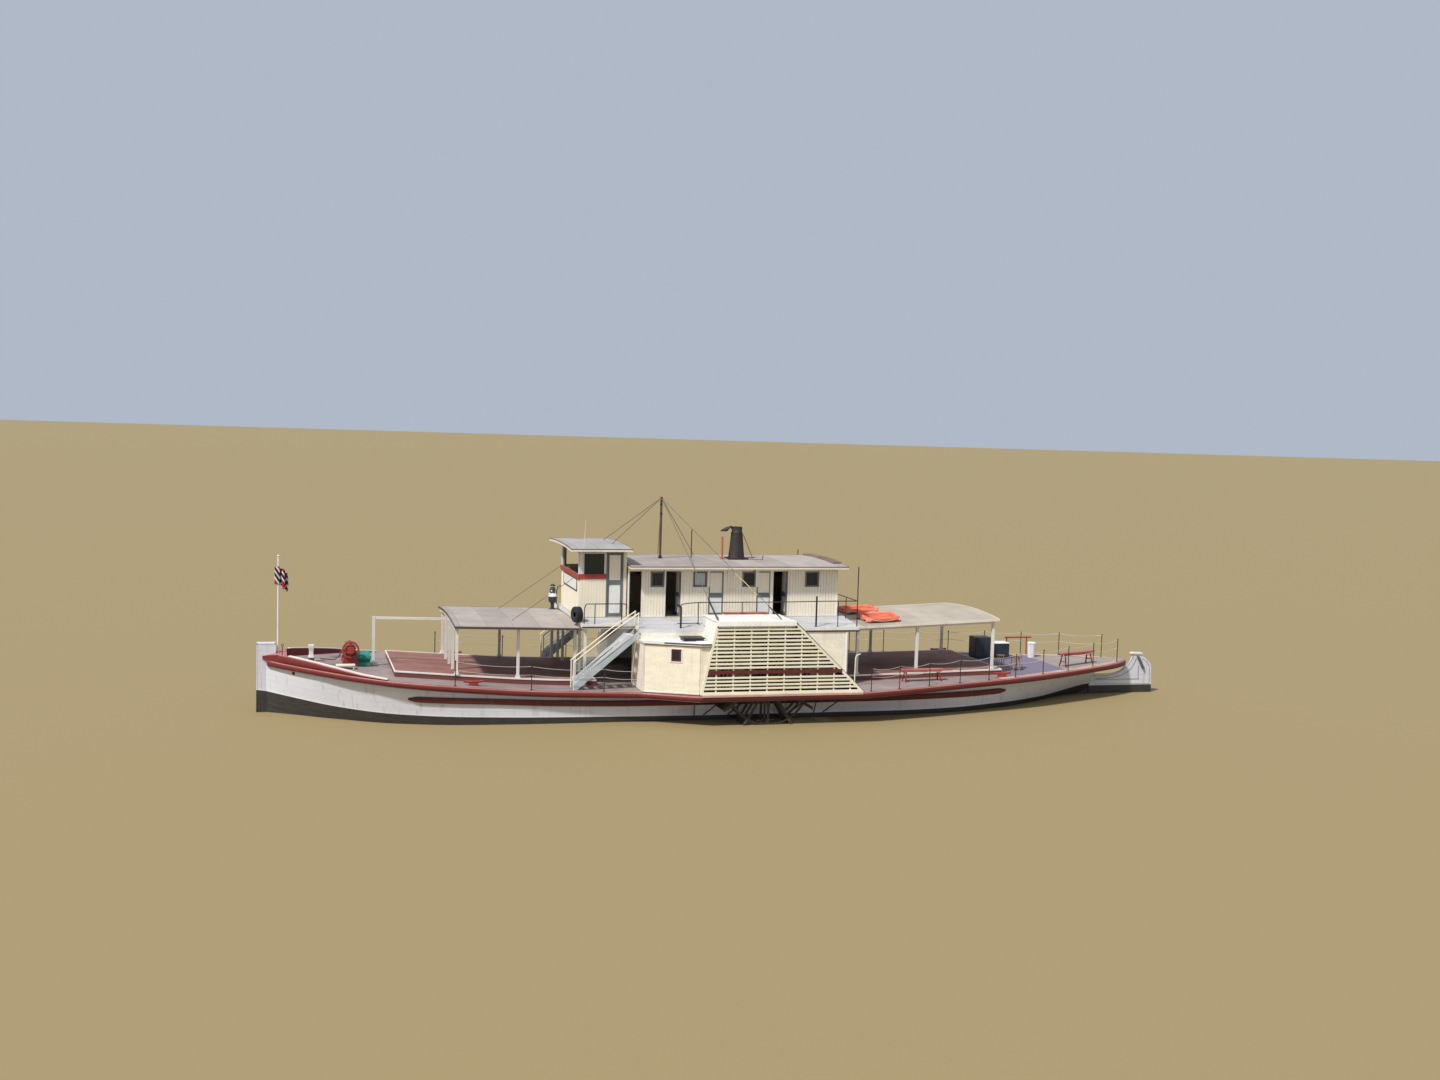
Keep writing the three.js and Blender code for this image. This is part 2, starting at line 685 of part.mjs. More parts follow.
// Doors: opening from, to, hinge edge (fore or aft), stands open inwards
const DOORS = {
  port: [
    [12880, 13330, 'fore', true],
    [14230, 14800, 'aft', true],
    [15840, 16400, 'fore', false],
    [17670, 18210, 'fore', false],
    [18310, 18870, 'aft', true],
  ],
  starboard: [
    [14230, 14800, 'aft', false],
    [18310, 18870, 'aft', false],
  ],
};
const DOOR = { gap: 6, thick: 42, pin: 5 };

const camber = (roof, y) => roof.crown - (roof.crown - roof.eave) * (y / roof.half) ** 2;
const ROOF_STEPS = [0, 0.45, 0.8, 1];

// Cambered roof: straight strips between the steps, the same above and below
function roofRing(roof) {
  const top = ROOF_STEPS.map((step) => [step * roof.half, camber(roof, step * roof.half)]);
  const under = top.map(([y, z]) => [y, z - roof.thick]);
  return mirrored([...under, ...top.reverse()]);
}

// Height of a cambered roof's underside at y, on its straight strips
function roofUnder(roof, y) {
  const share = Math.abs(y) / roof.half;
  let step = 1;
  while (step < ROOF_STEPS.length - 1 && ROOF_STEPS[step] < share) step += 1;
  const [a, b] = [ROOF_STEPS[step - 1], ROOF_STEPS[step]];
  const t = (share - a) / (b - a);
  return (1 - t) * camber(roof, a * roof.half) + t * camber(roof, b * roof.half) - roof.thick;
}

const wallBase = UPPER.top + SEAT;
const wallTop = roofUnder(CABIN_ROOF, CABIN.half) - SEAT;

function cabinSide(name, side) {
  const wall = box(
    [aft(CABIN.from), aft(CABIN.to)],
    [side * CABIN.half, side * (CABIN.half - CABIN.wall)],
    [wallBase, wallTop],
  );
  const cuts = [
    ...WINDOWS[name].map(([from, to]) => [from, to, WINDOW_Z[0], WINDOW_Z[1]]),
    ...DOORS[name].map(([from, to]) => [from, to, CABIN.sill, CABIN.doorTop]),
  ];
  return cuts.reduce((whole, [from, to, low, high]) => whole.subtract(
    box([aft(from), aft(to)], [side * 1700, side * 2100], [low, high]),
  ), wall);
}

function cabinEnd() {
  const half = CABIN.half - CABIN.wall - SEAT;
  const marks = [-half, -0.45 * CABIN_ROOF.half, 0, 0.45 * CABIN_ROOF.half, half];
  const top = marks.map((y) => [y, roofUnder(CABIN_ROOF, y) - SEAT]).reverse();
  return endPlate([[-half, wallBase], [half, wallBase], ...top], [aft(CABIN.to) - CABIN.wall, aft(CABIN.to)]);
}

for (const [name, side] of SIDES) add(`cabin_side_${name}`, 'cream', cabinSide(name, side));
add('cabin_end_aft', 'cream', cabinEnd());
add('cabin_roof', 'roof_taupe', endPlate(roofRing(CABIN_ROOF), [aft(CABIN_ROOF.from), aft(CABIN_ROOF.to)]));

// A door leaf made about its hinge edge, standing in a wall whose outer face is at y
function door(name, side, from, to, edge, open, low, high, y, look) {
  const width = to - from - 2 * DOOR.gap;
  const along = edge === 'fore' ? 1 : -1;
  const inwards = -side;
  const panel = box([0, along * width], [0, (open ? -inwards : inwards) * DOOR.thick],
    [low + DOOR.gap, high - DOOR.gap]);
  const pin = rod([0, 0, low + SEAT], [0, 0, high - SEAT], DOOR.pin, 8);
  const hinge = edge === 'fore' ? from + DOOR.gap : to - DOOR.gap;
  const face = open ? y - side * CABIN.wall : y;
  const turn = open ? inwards * along * Math.PI / 2 : 0;
  add(name, look, panel.add(pin), [aft(hinge), face, 0], turn);
}

for (const [name, side] of SIDES) {
  DOORS[name].forEach(([from, to, edge, open], i) => {
    door(`cabin_door_${name}_${i + 1}`, side, from, to, edge, open, CABIN.sill, CABIN.doorTop,
      side * CABIN.half, 'cream');
  });
}

// Wheelhouse: front, two sides, a back wall shared with the cabin, and a cambered roof
const HELM = {
  from: 11080,
  to: 12800,
  half: 1800,
  wall: 60,
  sill: 5000,
  sideSill: 5040,
  head: 5780,
  frontHalf: 1640,
  sideWindow: [11240, 11970],
  door: [12110, 12620],
};
const HELM_ROOF = { from: 10680, to: 12900, half: 2290, crown: 6060, eave: 5990, thick: 85 };
const helmTop = roofUnder(HELM_ROOF, HELM.half) - SEAT;

function helmEnd(from, half, windows) {
  const marks = [-half, -0.45 * HELM_ROOF.half, 0, 0.45 * HELM_ROOF.half, half];
  const top = marks.map((y) => [y, roofUnder(HELM_ROOF, y) - SEAT]).reverse();
  const wall = endPlate([[-half, wallBase], [half, wallBase], ...top], [aft(from), aft(from) + HELM.wall]);
  return windows.reduce((whole, [y0, y1, z0, z1]) => whole.subtract(
    box([aft(from) - 100, aft(from) + 200], [y0, y1], [z0, z1]),
  ), wall);
}

function helmSide(side) {
  const wall = box(
    [aft(HELM.from), aft(HELM.to)],
    [side * HELM.half, side * (HELM.half - HELM.wall)],
    [wallBase, helmTop],
  );
  const across = [side * 1600, side * 2000];
  const [window, doorway] = [HELM.sideWindow, HELM.door];
  return wall
    .subtract(box([aft(window[0]), aft(window[1])], across, [HELM.sideSill, HELM.head]))
    .subtract(box([aft(doorway[0]), aft(doorway[1])], across, [CABIN.sill, HELM.head]));
}

const helmInside = HELM.half - HELM.wall - SEAT;
const helmWindows = [[-HELM.frontHalf, HELM.frontHalf, HELM.sill, HELM.head]];
add('wheelhouse_front', 'cream', helmEnd(HELM.from, helmInside, helmWindows));
add('wheelhouse_back', 'cream', helmEnd(HELM.to - HELM.wall, helmInside, []));
for (const [name, side] of SIDES) {
  add(`wheelhouse_side_${name}`, 'cream', helmSide(side));
  door(`wheelhouse_door_${name}`, side, HELM.door[0], HELM.door[1], 'aft', false, CABIN.sill, HELM.head,
    side * HELM.half, 'grey_steel');
}
add('wheelhouse_roof', 'roof_taupe', endPlate(roofRing(HELM_ROOF), [aft(HELM_ROOF.from), aft(HELM_ROOF.to)]));

// Steering wheel and its stand
const STEERING = {
  distance: 11850,
  z: 4500,
  radius: 720,
  rim: 60,
  thick: 60,
  hub: 110,
  spokes: 4,
  handle: 150,
  pin: 40,
};
const STAND = { length: 260, half: 180, top: 4640 };

function steeringWheel() {
  const half = STEERING.thick / 2;
  const disc = (radius, reach) => rod([-reach, 0, 0], [reach, 0, 0], radius, 16);
  const rim = disc(STEERING.radius, half).subtract(disc(STEERING.radius - STEERING.rim, half + 10));
  const pieces = [rim, disc(STEERING.hub, half + 10)];
  for (let i = 0; i < STEERING.spokes; i += 1) {
    const angle = i * Math.PI / STEERING.spokes;
    const reach = STEERING.radius + STEERING.handle;
    const end = [0, reach * Math.cos(angle), reach * Math.sin(angle)];
    pieces.push(rod(end.map((value) => -value), end, 20, 4));
  }
  return join(pieces).subtract(bore([-100, 0, 0], [100, 0, 0], STEERING.pin, 12));
}

function steeringStand() {
  const x = aft(STEERING.distance) + 60;
  const post = box([x, x + STAND.length], [-STAND.half, STAND.half], [wallBase, STAND.top]);
  const pin = rod([x + 20, 0, STEERING.z], [aft(STEERING.distance) - 60, 0, STEERING.z],
    STEERING.pin, 12);
  return post.add(pin);
}

add('steering_wheel', 'timber', steeringWheel(), [aft(STEERING.distance), 0, STEERING.z]);
add('steering_stand', 'timber', steeringStand());

// Funnel on the cabin roof with a flap that hangs open forward
const FUNNEL = { distance: 17410, base: 300, top: 215, baseZ: 5455, topZ: 6400, collar: 200, lip: 6650 };
const FLAP = {
  radius: 215,
  thick: 16,
  out: 22,
  up: 24,
  pin: 5.7,
  ear: [41, 55],
  earHalf: 12,
  strap: 35,
  hang: 25,
};

const flapHinge = [aft(FUNNEL.distance) - FUNNEL.collar - FLAP.out, 0, FUNNEL.lip + FLAP.up];

function funnel() {
  const profile = [
    [0, FUNNEL.baseZ + 20],
    [FUNNEL.base + 90, FUNNEL.baseZ + 20],
    [FUNNEL.base + 90, FUNNEL.baseZ + 50],
    [FUNNEL.base, FUNNEL.baseZ + 60],
    [FUNNEL.top, FUNNEL.topZ],
    [FUNNEL.collar, FUNNEL.topZ + 10],
    [FUNNEL.collar, FUNNEL.lip],
    [FUNNEL.collar - 20, FUNNEL.lip],
    [FUNNEL.collar - 20, FUNNEL.baseZ + 150],
    [0, FUNNEL.baseZ + 150],
  ];
  const lathe = new THREE.LatheGeometry(profile.map(([r, z]) => new THREE.Vector2(r, z)), 20);
  lathe.rotateX(Math.PI / 2);
  lathe.translate(aft(FUNNEL.distance), 0, 0);
  const foot = box(
    [aft(FUNNEL.distance) - 400, aft(FUNNEL.distance) + 400],
    [-300, 300],
    [roofUnder(CABIN_ROOF, 0) + CABIN_ROOF.thick + SEAT, FUNNEL.baseZ + 40],
  );
  const x = flapHinge[0];
  const lug = box(
    [x - FLAP.earHalf, x + FLAP.out + 10],
    [-FLAP.ear[1], FLAP.ear[1]],
    [FUNNEL.lip - 70, FUNNEL.lip - 25],
  );
  const ears = SIDES.map(([, side]) => box(
    [x - FLAP.earHalf, x + FLAP.earHalf],
    [side * FLAP.ear[0], side * FLAP.ear[1]],
    [FUNNEL.lip - 60, flapHinge[2] + 14],
  ));
  const hole = bore([x, -100, flapHinge[2]], [x, 100, flapHinge[2]], FLAP.pin, 8);
  return join([solid(lathe), foot, lug, join(ears).subtract(hole)]);
}

function flap() {
  const disc = rod([-FLAP.radius - 25, 0, 0], [-FLAP.radius - 25, 0, FLAP.thick], FLAP.radius, 20);
  const strap = box([-60, 0], [-FLAP.strap, FLAP.strap], [0, FLAP.thick]);
  const pin = rod([0, -FLAP.ear[1] - 3, 0], [0, FLAP.ear[1] + 3, 0], FLAP.pin, 8);
  return join([disc, strap, pin]).rotate([0, -FLAP.hang, 0]);
}

add('funnel', 'black_steel', funnel());
add('funnel_flap', 'black_steel', flap(), flapHinge);

// Mast on the cabin roof, and its wire stays: feet as distance aft, y, height of what they stand on
const MAST = { distance: 14450, top: 7750, radius: 45 };
const STAY = { radius: 12, ring: 75, drop: 90 };
const HELM_STAY = { distance: 12450, y: 800 };
const helmStaySeat = roofUnder(HELM_ROOF, HELM_STAY.y - STAY.radius) + HELM_ROOF.thick;
const STAY_FEET = [
  [HELM_STAY.distance, -HELM_STAY.y, helmStaySeat],
  [HELM_STAY.distance, HELM_STAY.y, helmStaySeat],
  [15450, -4780, BOX.roofZ],
  [15450, 4780, BOX.roofZ],
  [17850, -4600, BOX.roofZ],
  [17850, 4600, BOX.roofZ],
];
const mastFoot = camber(CABIN_ROOF, 0) + SEAT;
const stayTop = MAST.top - STAY.drop;

function stays() {
  const x = aft(MAST.distance);
  const collar = rod([x, 0, stayTop - 30], [x, 0, stayTop + 30], STAY.ring, 12)
    .subtract(rod([x, 0, stayTop - 50], [x, 0, stayTop + 50], MAST.radius + SEAT, 12));
  return join([collar, ...STAY_FEET.map(([distance, y, seat]) => {
    const spread = new THREE.Vector3(aft(distance) - x, y, 0);
    const lean = spread.length() / Math.hypot(spread.length(), stayTop - seat);
    const foot = [aft(distance), y, seat + SEAT + STAY.radius * lean];
    const head = spread.normalize().multiplyScalar(STAY.ring - STAY.radius).setX(spread.x + x).setZ(stayTop);
    return rod(foot, head.toArray(), STAY.radius, 6);
  })]);
}

const mastX = aft(MAST.distance);
add('mast', 'timber', rod([mastX, 0, mastFoot], [mastX, 0, MAST.top], MAST.radius, 12));
add('mast_stays', 'black_steel', stays());

// Canopies: a cambered roof on beams and posts that stand on the hold decks
const CANOPIES = {
  fore: {
    roof: { half: 2820, thick: 60 },
    from: 6580,
    to: 10950,
    eaves: [3340, 3240],
    rise: 130,
    postRows: [6700, 8840, 10850],
    endPosts: [0, 1150],
    endRow: 6700,
  },
  aft: {
    roof: { half: 2560, thick: 60 },
    from: 21200,
    to: 27180,
    eaves: [3150, 3400],
    rise: 130,
    postRows: [21500, 23890, 27000],
    endPosts: [],
    endRow: 27000,
  },
};
const CANOPY_POST = { y: 2400, size: 95, beam: 110, cross: 75 };

function canopyAt(canopy, distance) {
  const share = (distance - canopy.from) / (canopy.to - canopy.from);
  const eave = canopy.eaves[0] + share * (canopy.eaves[1] - canopy.eaves[0]);
  return { ...canopy.roof, eave, crown: eave + canopy.rise };
}

const canopyRoof = (canopy) => loft([canopy.from, canopy.to], (d) => roofRing(canopyAt(canopy, d)));

function canopyFrame(canopy) {
  const { y, size, beam, cross } = CANOPY_POST;
  const half = size / 2;
  const underAt = (d, at) => roofUnder(canopyAt(canopy, d), Math.abs(at) + half) - SEAT;
  const post = (d, at) => box(
    [aft(d) - half, aft(d) + half],
    [at - half, at + half],
    [standOn(holdTop, d, half), underAt(d, y) - beam / 2],
  );
  const rows = canopy.postRows;
  const ends = [rows[0] - half, rows[rows.length - 1] + half];
  const long = SIDES.map(([, side]) => sidePlate([
    [aft(ends[0]), underAt(ends[0], y) - beam],
    [aft(ends[1]), underAt(ends[1], y) - beam],
    [aft(ends[1]), underAt(ends[1], y)],
    [aft(ends[0]), underAt(ends[0], y)],
  ], [side * (y - half), side * (y + half)]));
  const crosses = rows.map((d) => {
    const top = Math.min(underAt(d - half, y), underAt(d + half, y));
    return box([aft(d) - cross / 2, aft(d) + cross / 2], [-y, y], [top - beam + 5, top - 5]);
  });
  const corners = rows.flatMap((d) => SIDES.map(([, side]) => post(d, side * y)));
  const middle = canopy.endPosts.flatMap((at) => [...new Set([-at, at])].map((v) => post(canopy.endRow, v)));
  return join([...long, ...crosses, ...corners, ...middle]);
}

// Goal post on the fore deck, with a ridge spar back to the fore canopy
const GOAL = { distance: 4010, size: 100, spar: 80, z: 3340 };

function goalPost() {
  const half = GOAL.size / 2;
  const x = aft(GOAL.distance);
  const foot = standOn(deckTop, GOAL.distance, half);
  const post = box([x - half, x + half], [-half, half], [foot, GOAL.z]);
  const { endRow } = CANOPIES.fore;
  const endTop = roofUnder(canopyAt(CANOPIES.fore, endRow), CANOPY_POST.y) - half;
  const spar = sidePlate([
    [x, GOAL.z - 10 - GOAL.spar],
    [aft(endRow), endTop - GOAL.spar],
    [aft(endRow), endTop],
    [x, GOAL.z - 10],
  ], [-GOAL.spar / 2, GOAL.spar / 2]);
  return post.add(spar);
}

add('canopy_frame_fore', 'white', canopyFrame(CANOPIES.fore).add(goalPost()));
add('canopy_roof_fore', 'roof_taupe', canopyRoof(CANOPIES.fore));
add('canopy_frame_aft', 'white', canopyFrame(CANOPIES.aft));
add('canopy_roof_aft', 'roof_taupe', canopyRoof(CANOPIES.aft));

// Railings: posts and two rails along a line of points
const RAIL = { radius: 16, post: 20, sides: 4 };

function railing(points, lifts) {
  const height = lifts[lifts.length - 1] + RAIL.radius;
  const pieces = points.map(([x, y, z]) => rod([x, y, z], [x, y, z + height], RAIL.post, RAIL.sides));
  for (let i = 1; i < points.length; i += 1) {
    for (const lift of lifts) {
      const [a, b] = [points[i - 1], points[i]];
      const [start, end] = [a, b].map(([x, y, z]) => [x, y, z + lift]);
      pieces.push(rod(start, end, RAIL.radius, RAIL.sides));
    }
  }
  return join(pieces);
}

const UPPER_RAIL = { y: 3500, aftX: 21020, marks: [18900, 19600, 20300], cross: [2300, 1000] };
const railFoot = (y) => upperTop(y - RAIL.post) + SEAT;
const upperRailPoints = (side) => [
  ...UPPER_RAIL.marks.map((d) => [aft(d), side * UPPER_RAIL.y, railFoot(UPPER_RAIL.y)]),
  [aft(UPPER_RAIL.aftX), side * UPPER_RAIL.y, railFoot(UPPER_RAIL.y)],
  ...UPPER_RAIL.cross.map((y) => [aft(UPPER_RAIL.aftX), side * y, railFoot(y)]),
];
add('upper_rail', 'black_steel', railing([
  ...upperRailPoints(PORT),
  ...upperRailPoints(STARBOARD).reverse(),
], [470, 930]));

const STERN_RAIL = { marks: [28300, 29900, 31500, 32900], inset: 90, tip: 33750 };
const sternPoint = (d, side) => [aft(d), side * (deckHalf(d) - STERN_RAIL.inset), deckTop(d + 20) + SEAT];
add('stern_rail', 'grey_steel', railing([
  ...STERN_RAIL.marks.map((d) => sternPoint(d, PORT)),
  [aft(STERN_RAIL.tip), 0, deckTop(STERN_RAIL.tip + 20) + SEAT],
  ...STERN_RAIL.marks.map((d) => sternPoint(d, STARBOARD)).reverse(),
], [840]));

// Steel stairs outboard of the upper deck's fore part
const STAIR = {
  foot: 10650,
  head: 12890,
  inner: 2960,
  outer: 3560,
  string: 35,
  deep: 170,
  treads: 9,
  tread: 180,
  rail: 850,
};

function stair(side) {
  const [x0, x1] = [aft(STAIR.foot), aft(STAIR.head)];
  const [z0, z1] = [deckTop(STAIR.foot) + SEAT, upperTop(STAIR.outer)];
  const strings = [STAIR.inner, STAIR.outer - STAIR.string].map((y) => sidePlate([
    [x0, z0],
    [x0 + STAIR.deep * 1.3, z0],
    [x1, z1 - STAIR.deep],
    [x1, z1],
    [x1 - 60, z1],
    [x0, z0 + STAIR.deep * 0.7],
  ], [side * y, side * (y + STAIR.string)]));
  const treads = [];
  for (let i = 1; i <= STAIR.treads; i += 1) {
    const share = i / (STAIR.treads + 1);
    const [x, z] = [x0 + share * (x1 - x0), z0 + share * (z1 - z0) - 60];
    treads.push(box(
      [x - STAIR.tread / 2, x + STAIR.tread / 2],
      [side * (STAIR.inner + 5), side * (STAIR.outer - 5)],
      [z, z + 30],
    ));
  }
  const rails = [STAIR.inner, STAIR.outer - STAIR.string].map((y) => {
    const mid = side * (y + STAIR.string / 2);
    const [a, b] = [[x0 + 120, mid, z0 + 150], [x1 - 120, mid, z1 - 60]];
    const up = ([x, v, z]) => [x, v, z + STAIR.rail];
    const bars = [[a, up(a)], [b, up(b)], [up(a), up(b)]];
    return join(bars.map(([start, end]) => rod(start, end, RAIL.post, RAIL.sides)));
  });
  return join([...strings, ...treads, ...rails]);
}

for (const [name, side] of SIDES) add(`stair_${name}`, 'grey_steel', stair(side));

// Fore deck gear: mooring post, jackstaff, windlass
const MOORING = { distance: 1860, half: 100, top: 2350 };
add('mooring_post', 'white', box(
  [aft(MOORING.distance) - MOORING.half, aft(MOORING.distance) + MOORING.half],
  [-MOORING.half, MOORING.half],
  [standOn(deckTop, MOORING.distance, MOORING.half), MOORING.top],
));

const JACKSTAFF = { distance: STEM_LENGTH + 70, top: 5470, radius: 32 };
const jackstaffRoot = JACKSTAFF.distance - JACKSTAFF.radius;
add('jackstaff', 'white', rod(
  [aft(JACKSTAFF.distance), 0, deckTop(jackstaffRoot) + read(BULWARK, jackstaffRoot, 1) + SEAT],
  [aft(JACKSTAFF.distance), 0, JACKSTAFF.top],
  JACKSTAFF.radius,
  8,
));

const WINDLASS = { distance: 3190, half: 500, cheek: 80, length: 560, axleZ: 2240, drum: 170, axle: 45 };
const GEAR = { radius: 300, rim: 60, from: 610, to: 670, hub: 95, spokes: 3, spoke: 24 };
const WINCH_ENGINE = {
  from: 3380,
  to: 3880,
  half: 460,
  bed: 110,
  saddle: [3440, 3560, 3700, 3820],
  cylinderY: 300,
  cylinderZ: 1920,
  radius: 140,
};

function windlassFrame() {
  const x = aft(WINDLASS.distance);
  const foot = standOn(deckTop, WINDLASS.distance, WINDLASS.length / 2);
  const cheeks = SIDES.map(([, side]) => sidePlate([
    [x - WINDLASS.length / 2, foot],
    [x + WINDLASS.length / 2, foot],
    [x + 130, WINDLASS.axleZ + 130],
    [x - 130, WINDLASS.axleZ + 130],
  ], [side * WINDLASS.half, side * (WINDLASS.half + WINDLASS.cheek)]));
  const bed = box([x - 260, x - 170], [-WINDLASS.half - 20, WINDLASS.half + 20], [foot + 20, foot + 120]);
  const hole = bore([x, -900, WINDLASS.axleZ], [x, 900, WINDLASS.axleZ], WINDLASS.axle, 16);
  return join([...cheeks, bed]).subtract(hole);
}

function windlassDrum() {
  const reach = GEAR.to + 150;
  const inside = WINDLASS.half - 10;
  const gearY = [-GEAR.to, -GEAR.from];
  const pieces = [
    rod([0, -reach, 0], [0, reach, 0], WINDLASS.axle, 16),
    rod([0, -inside, 0], [0, inside, 0], WINDLASS.drum, 16),
    ring(GEAR.radius, GEAR.radius - GEAR.rim, gearY, 24),
    rod([0, gearY[0] - 10, 0], [0, gearY[1] + 10, 0], GEAR.hub, 12),
    ...SIDES.map(([, side]) => rod([0, side * (reach - 120), 0], [0, side * reach, 0], 120, 12)),
  ];
  for (let i = 0; i < GEAR.spokes; i += 1) {
    const angle = (i + 0.5) * Math.PI / GEAR.spokes;
    const reachOut = GEAR.radius - GEAR.rim / 2;
    const end = [reachOut * Math.cos(angle), reachOut * Math.sin(angle)];
    const middle = (gearY[0] + gearY[1]) / 2;
    pieces.push(rod([-end[0], middle, -end[1]], [end[0], middle, end[1]], GEAR.spoke, 4));
  }
  return join(pieces);
}

// Small steam engine aft of the windlass: two cylinders side by side on a bed
function winchEngine() {
  const e = WINCH_ENGINE;
  const middle = (e.from + e.to) / 2;
  const foot = standOn(deckTop, middle, (e.to - e.from) / 2);
  const bed = box([aft(e.from), aft(e.to)], [-e.half, e.half], [foot, foot + e.bed]);
  const saddles = [e.saddle.slice(0, 2), e.saddle.slice(2)].map(([from, to]) => box(
    [aft(from), aft(to)],
    [-e.cylinderY - e.radius / 2, e.cylinderY + e.radius / 2],
    [foot + e.bed - 10, e.cylinderZ],
  ));
  const cylinders = SIDES.map(([, side]) => rod(
    [aft(e.from), side * e.cylinderY, e.cylinderZ],
    [aft(e.to), side * e.cylinderY, e.cylinderZ],
    e.radius,
    16,
  ));
  return join([bed, ...saddles, ...cylinders]);
}

add('windlass_frame', 'red_trim', windlassFrame());
add('windlass_drum', 'red_trim', windlassDrum(), [aft(WINDLASS.distance), 0, WINDLASS.axleZ]);
add('windlass_engine', 'teal', winchEngine());

// Benches: a seat plank on two trestles, between two plan points
const BENCH = { seat: 45, deep: 300, leg: 60, legInset: 160 };

function bench(from, to, top) {
  const half = Math.hypot(to[0] - from[0], to[1] - from[1]) / 2;
  const turn = Math.atan2(to[1] - from[1], to[0] - from[0]) * 180 / Math.PI;
  const middle = [(from[0] + to[0]) / 2, (from[1] + to[1]) / 2];
  const y = [-BENCH.deep / 2, BENCH.deep / 2];
  const floor = standOn(deckTop, middle[0] + LENGTH / 2, half - BENCH.legInset);
  const legs = [-1, 1].map((end) => {
    const x = [end * (half - BENCH.legInset - BENCH.leg), end * (half - BENCH.legInset)];
    return box([Math.min(...x), Math.max(...x)], y, [floor, top - BENCH.seat / 2]);
  });
  return join([box([-half, half], y, [top - BENCH.seat, top]), ...legs])
    .rotate([0, 0, turn]).translate([...middle, 0]);
}

add('side_bench', 'red_trim', bench([aft(22950), -3200], [aft(24650), -3200], 1660));
add('stern_bench', 'red_trim', bench([aft(30450), -1320], [aft(32250), -600], 1860));

// Life floats: two trays side by side on runners, which follow the aft canopy's roof
const FLOATS = {
  life_float_port: { from: 21950, y: [-2200, -950] },
  life_float_middle: { from: 21850, y: [-300, 1050] },
};
const FLOAT = {
  length: 1380,
  deep: 160,
  tube: 170,
  pocket: 70,
  rise: 50,
  runnerIn: 200,
  runner: 80,
  past: 30,
  overlap: 10,
};

function lifeFloat(float) {
  const to = float.from + FLOAT.length;
  const roofTop = (d, y) => roofUnder(canopyAt(CANOPIES.aft, d), y) + CANOPIES.aft.roof.thick + SEAT;
  const slab = (inset, low, high) => loft([float.from + inset, to - inset], (d) => {
    const [y0, y1] = [float.y[0] + inset, float.y[1] - inset];
    const [z0, z1] = [roofTop(d, y0), roofTop(d, y1)];
    return [[y0, z0 + low], [y1, z1 + low], [y1, z1 + high], [y0, z0 + high]];
  });
  const top = FLOAT.rise + FLOAT.deep;
  const tray = slab(0, FLOAT.rise, top).subtract(slab(FLOAT.tube, top - FLOAT.pocket, top + FLOAT.pocket));
  const runners = [float.y[0] + FLOAT.runnerIn, float.y[1] - FLOAT.runnerIn].map((middle) => {
    const y = [middle - FLOAT.runner / 2, middle + FLOAT.runner / 2];
    const stand = (d) => Math.max(roofTop(d, y[0]), roofTop(d, y[1]));
    const ends = [float.from - FLOAT.past, to + FLOAT.past];
    return sidePlate([
      [aft(ends[0]), stand(ends[0])],
      [aft(ends[1]), stand(ends[1])],
      [aft(ends[1]), stand(ends[1]) + FLOAT.rise + FLOAT.overlap],
      [aft(ends[0]), stand(ends[0]) + FLOAT.rise + FLOAT.overlap],
    ], y);
  });
  return join([tray, ...runners]);
}

for (const [name, float] of Object.entries(FLOATS)) add(name, 'float_orange', lifeFloat(float));

// Rudder: made about its stock, blade outline as distance aft and z
const RUDDER = { stock: 32500, radius: 70, half: 50, stockTop: 1060 };
const BLADE = [
  [32500, -900],
  [35320, -900],
  [35320, 0],
  [35280, 1080],
  [35180, 1280],
  [34890, 1470],
  [34770, 1570],
  [34370, 1650],
  [34400, 1540],
  [34330, 1260],
  [34070, 980],
  [33670, 820],
  [33200, 780],
  [32500, 800],
];

function rudder() {
  const blade = sidePlate(BLADE.map(([d, z]) => [d - RUDDER.stock, z]), [-RUDDER.half, RUDDER.half]);
  const stock = rod([0, 0, SHOE_TOP + SEAT], [0, 0, RUDDER.stockTop], RUDDER.radius, 16);
  return blade.add(stock);
}

add('rudder', 'hull_white', rudder(), [aft(RUDDER.stock), 0, 0]);

export default steamer;
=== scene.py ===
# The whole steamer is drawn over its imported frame, in metres: x runs aft, y to starboard, z up,
# with the still water at z = 0. Distances in the tables are metres aft of the stem.
import math

import bmesh
import bpy
from mathutils import Matrix, Vector


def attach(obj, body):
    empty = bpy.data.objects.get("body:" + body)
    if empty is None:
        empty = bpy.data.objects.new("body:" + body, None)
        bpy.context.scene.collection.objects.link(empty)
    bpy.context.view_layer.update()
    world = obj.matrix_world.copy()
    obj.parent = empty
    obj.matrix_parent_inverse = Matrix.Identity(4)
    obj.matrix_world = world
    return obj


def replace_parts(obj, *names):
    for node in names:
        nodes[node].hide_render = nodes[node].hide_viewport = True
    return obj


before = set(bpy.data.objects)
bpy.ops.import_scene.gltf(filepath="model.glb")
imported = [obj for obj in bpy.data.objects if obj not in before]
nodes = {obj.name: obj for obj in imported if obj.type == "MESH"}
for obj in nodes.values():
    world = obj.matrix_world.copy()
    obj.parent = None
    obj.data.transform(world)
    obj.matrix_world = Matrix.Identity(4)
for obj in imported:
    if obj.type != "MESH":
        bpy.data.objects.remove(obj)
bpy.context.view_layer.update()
scene = bpy.context.scene
HALF_LENGTH = 17.0
SIDES = (("port", -1), ("starboard", 1))


def aft(distance):
    """A distance aft of the stem as an x of the frame"""
    return distance - HALF_LENGTH


# Camera on the river bank, broad on the port side and a little forward of the paddle box.
# A normal lens, slightly turned down and heeled, as the picture was taken.
EYE = Vector((-16.56, -57.84, 10.99))
YAW, PITCH, ROLL = (math.radians(a) for a in (15.754, 4.607, 1.653))

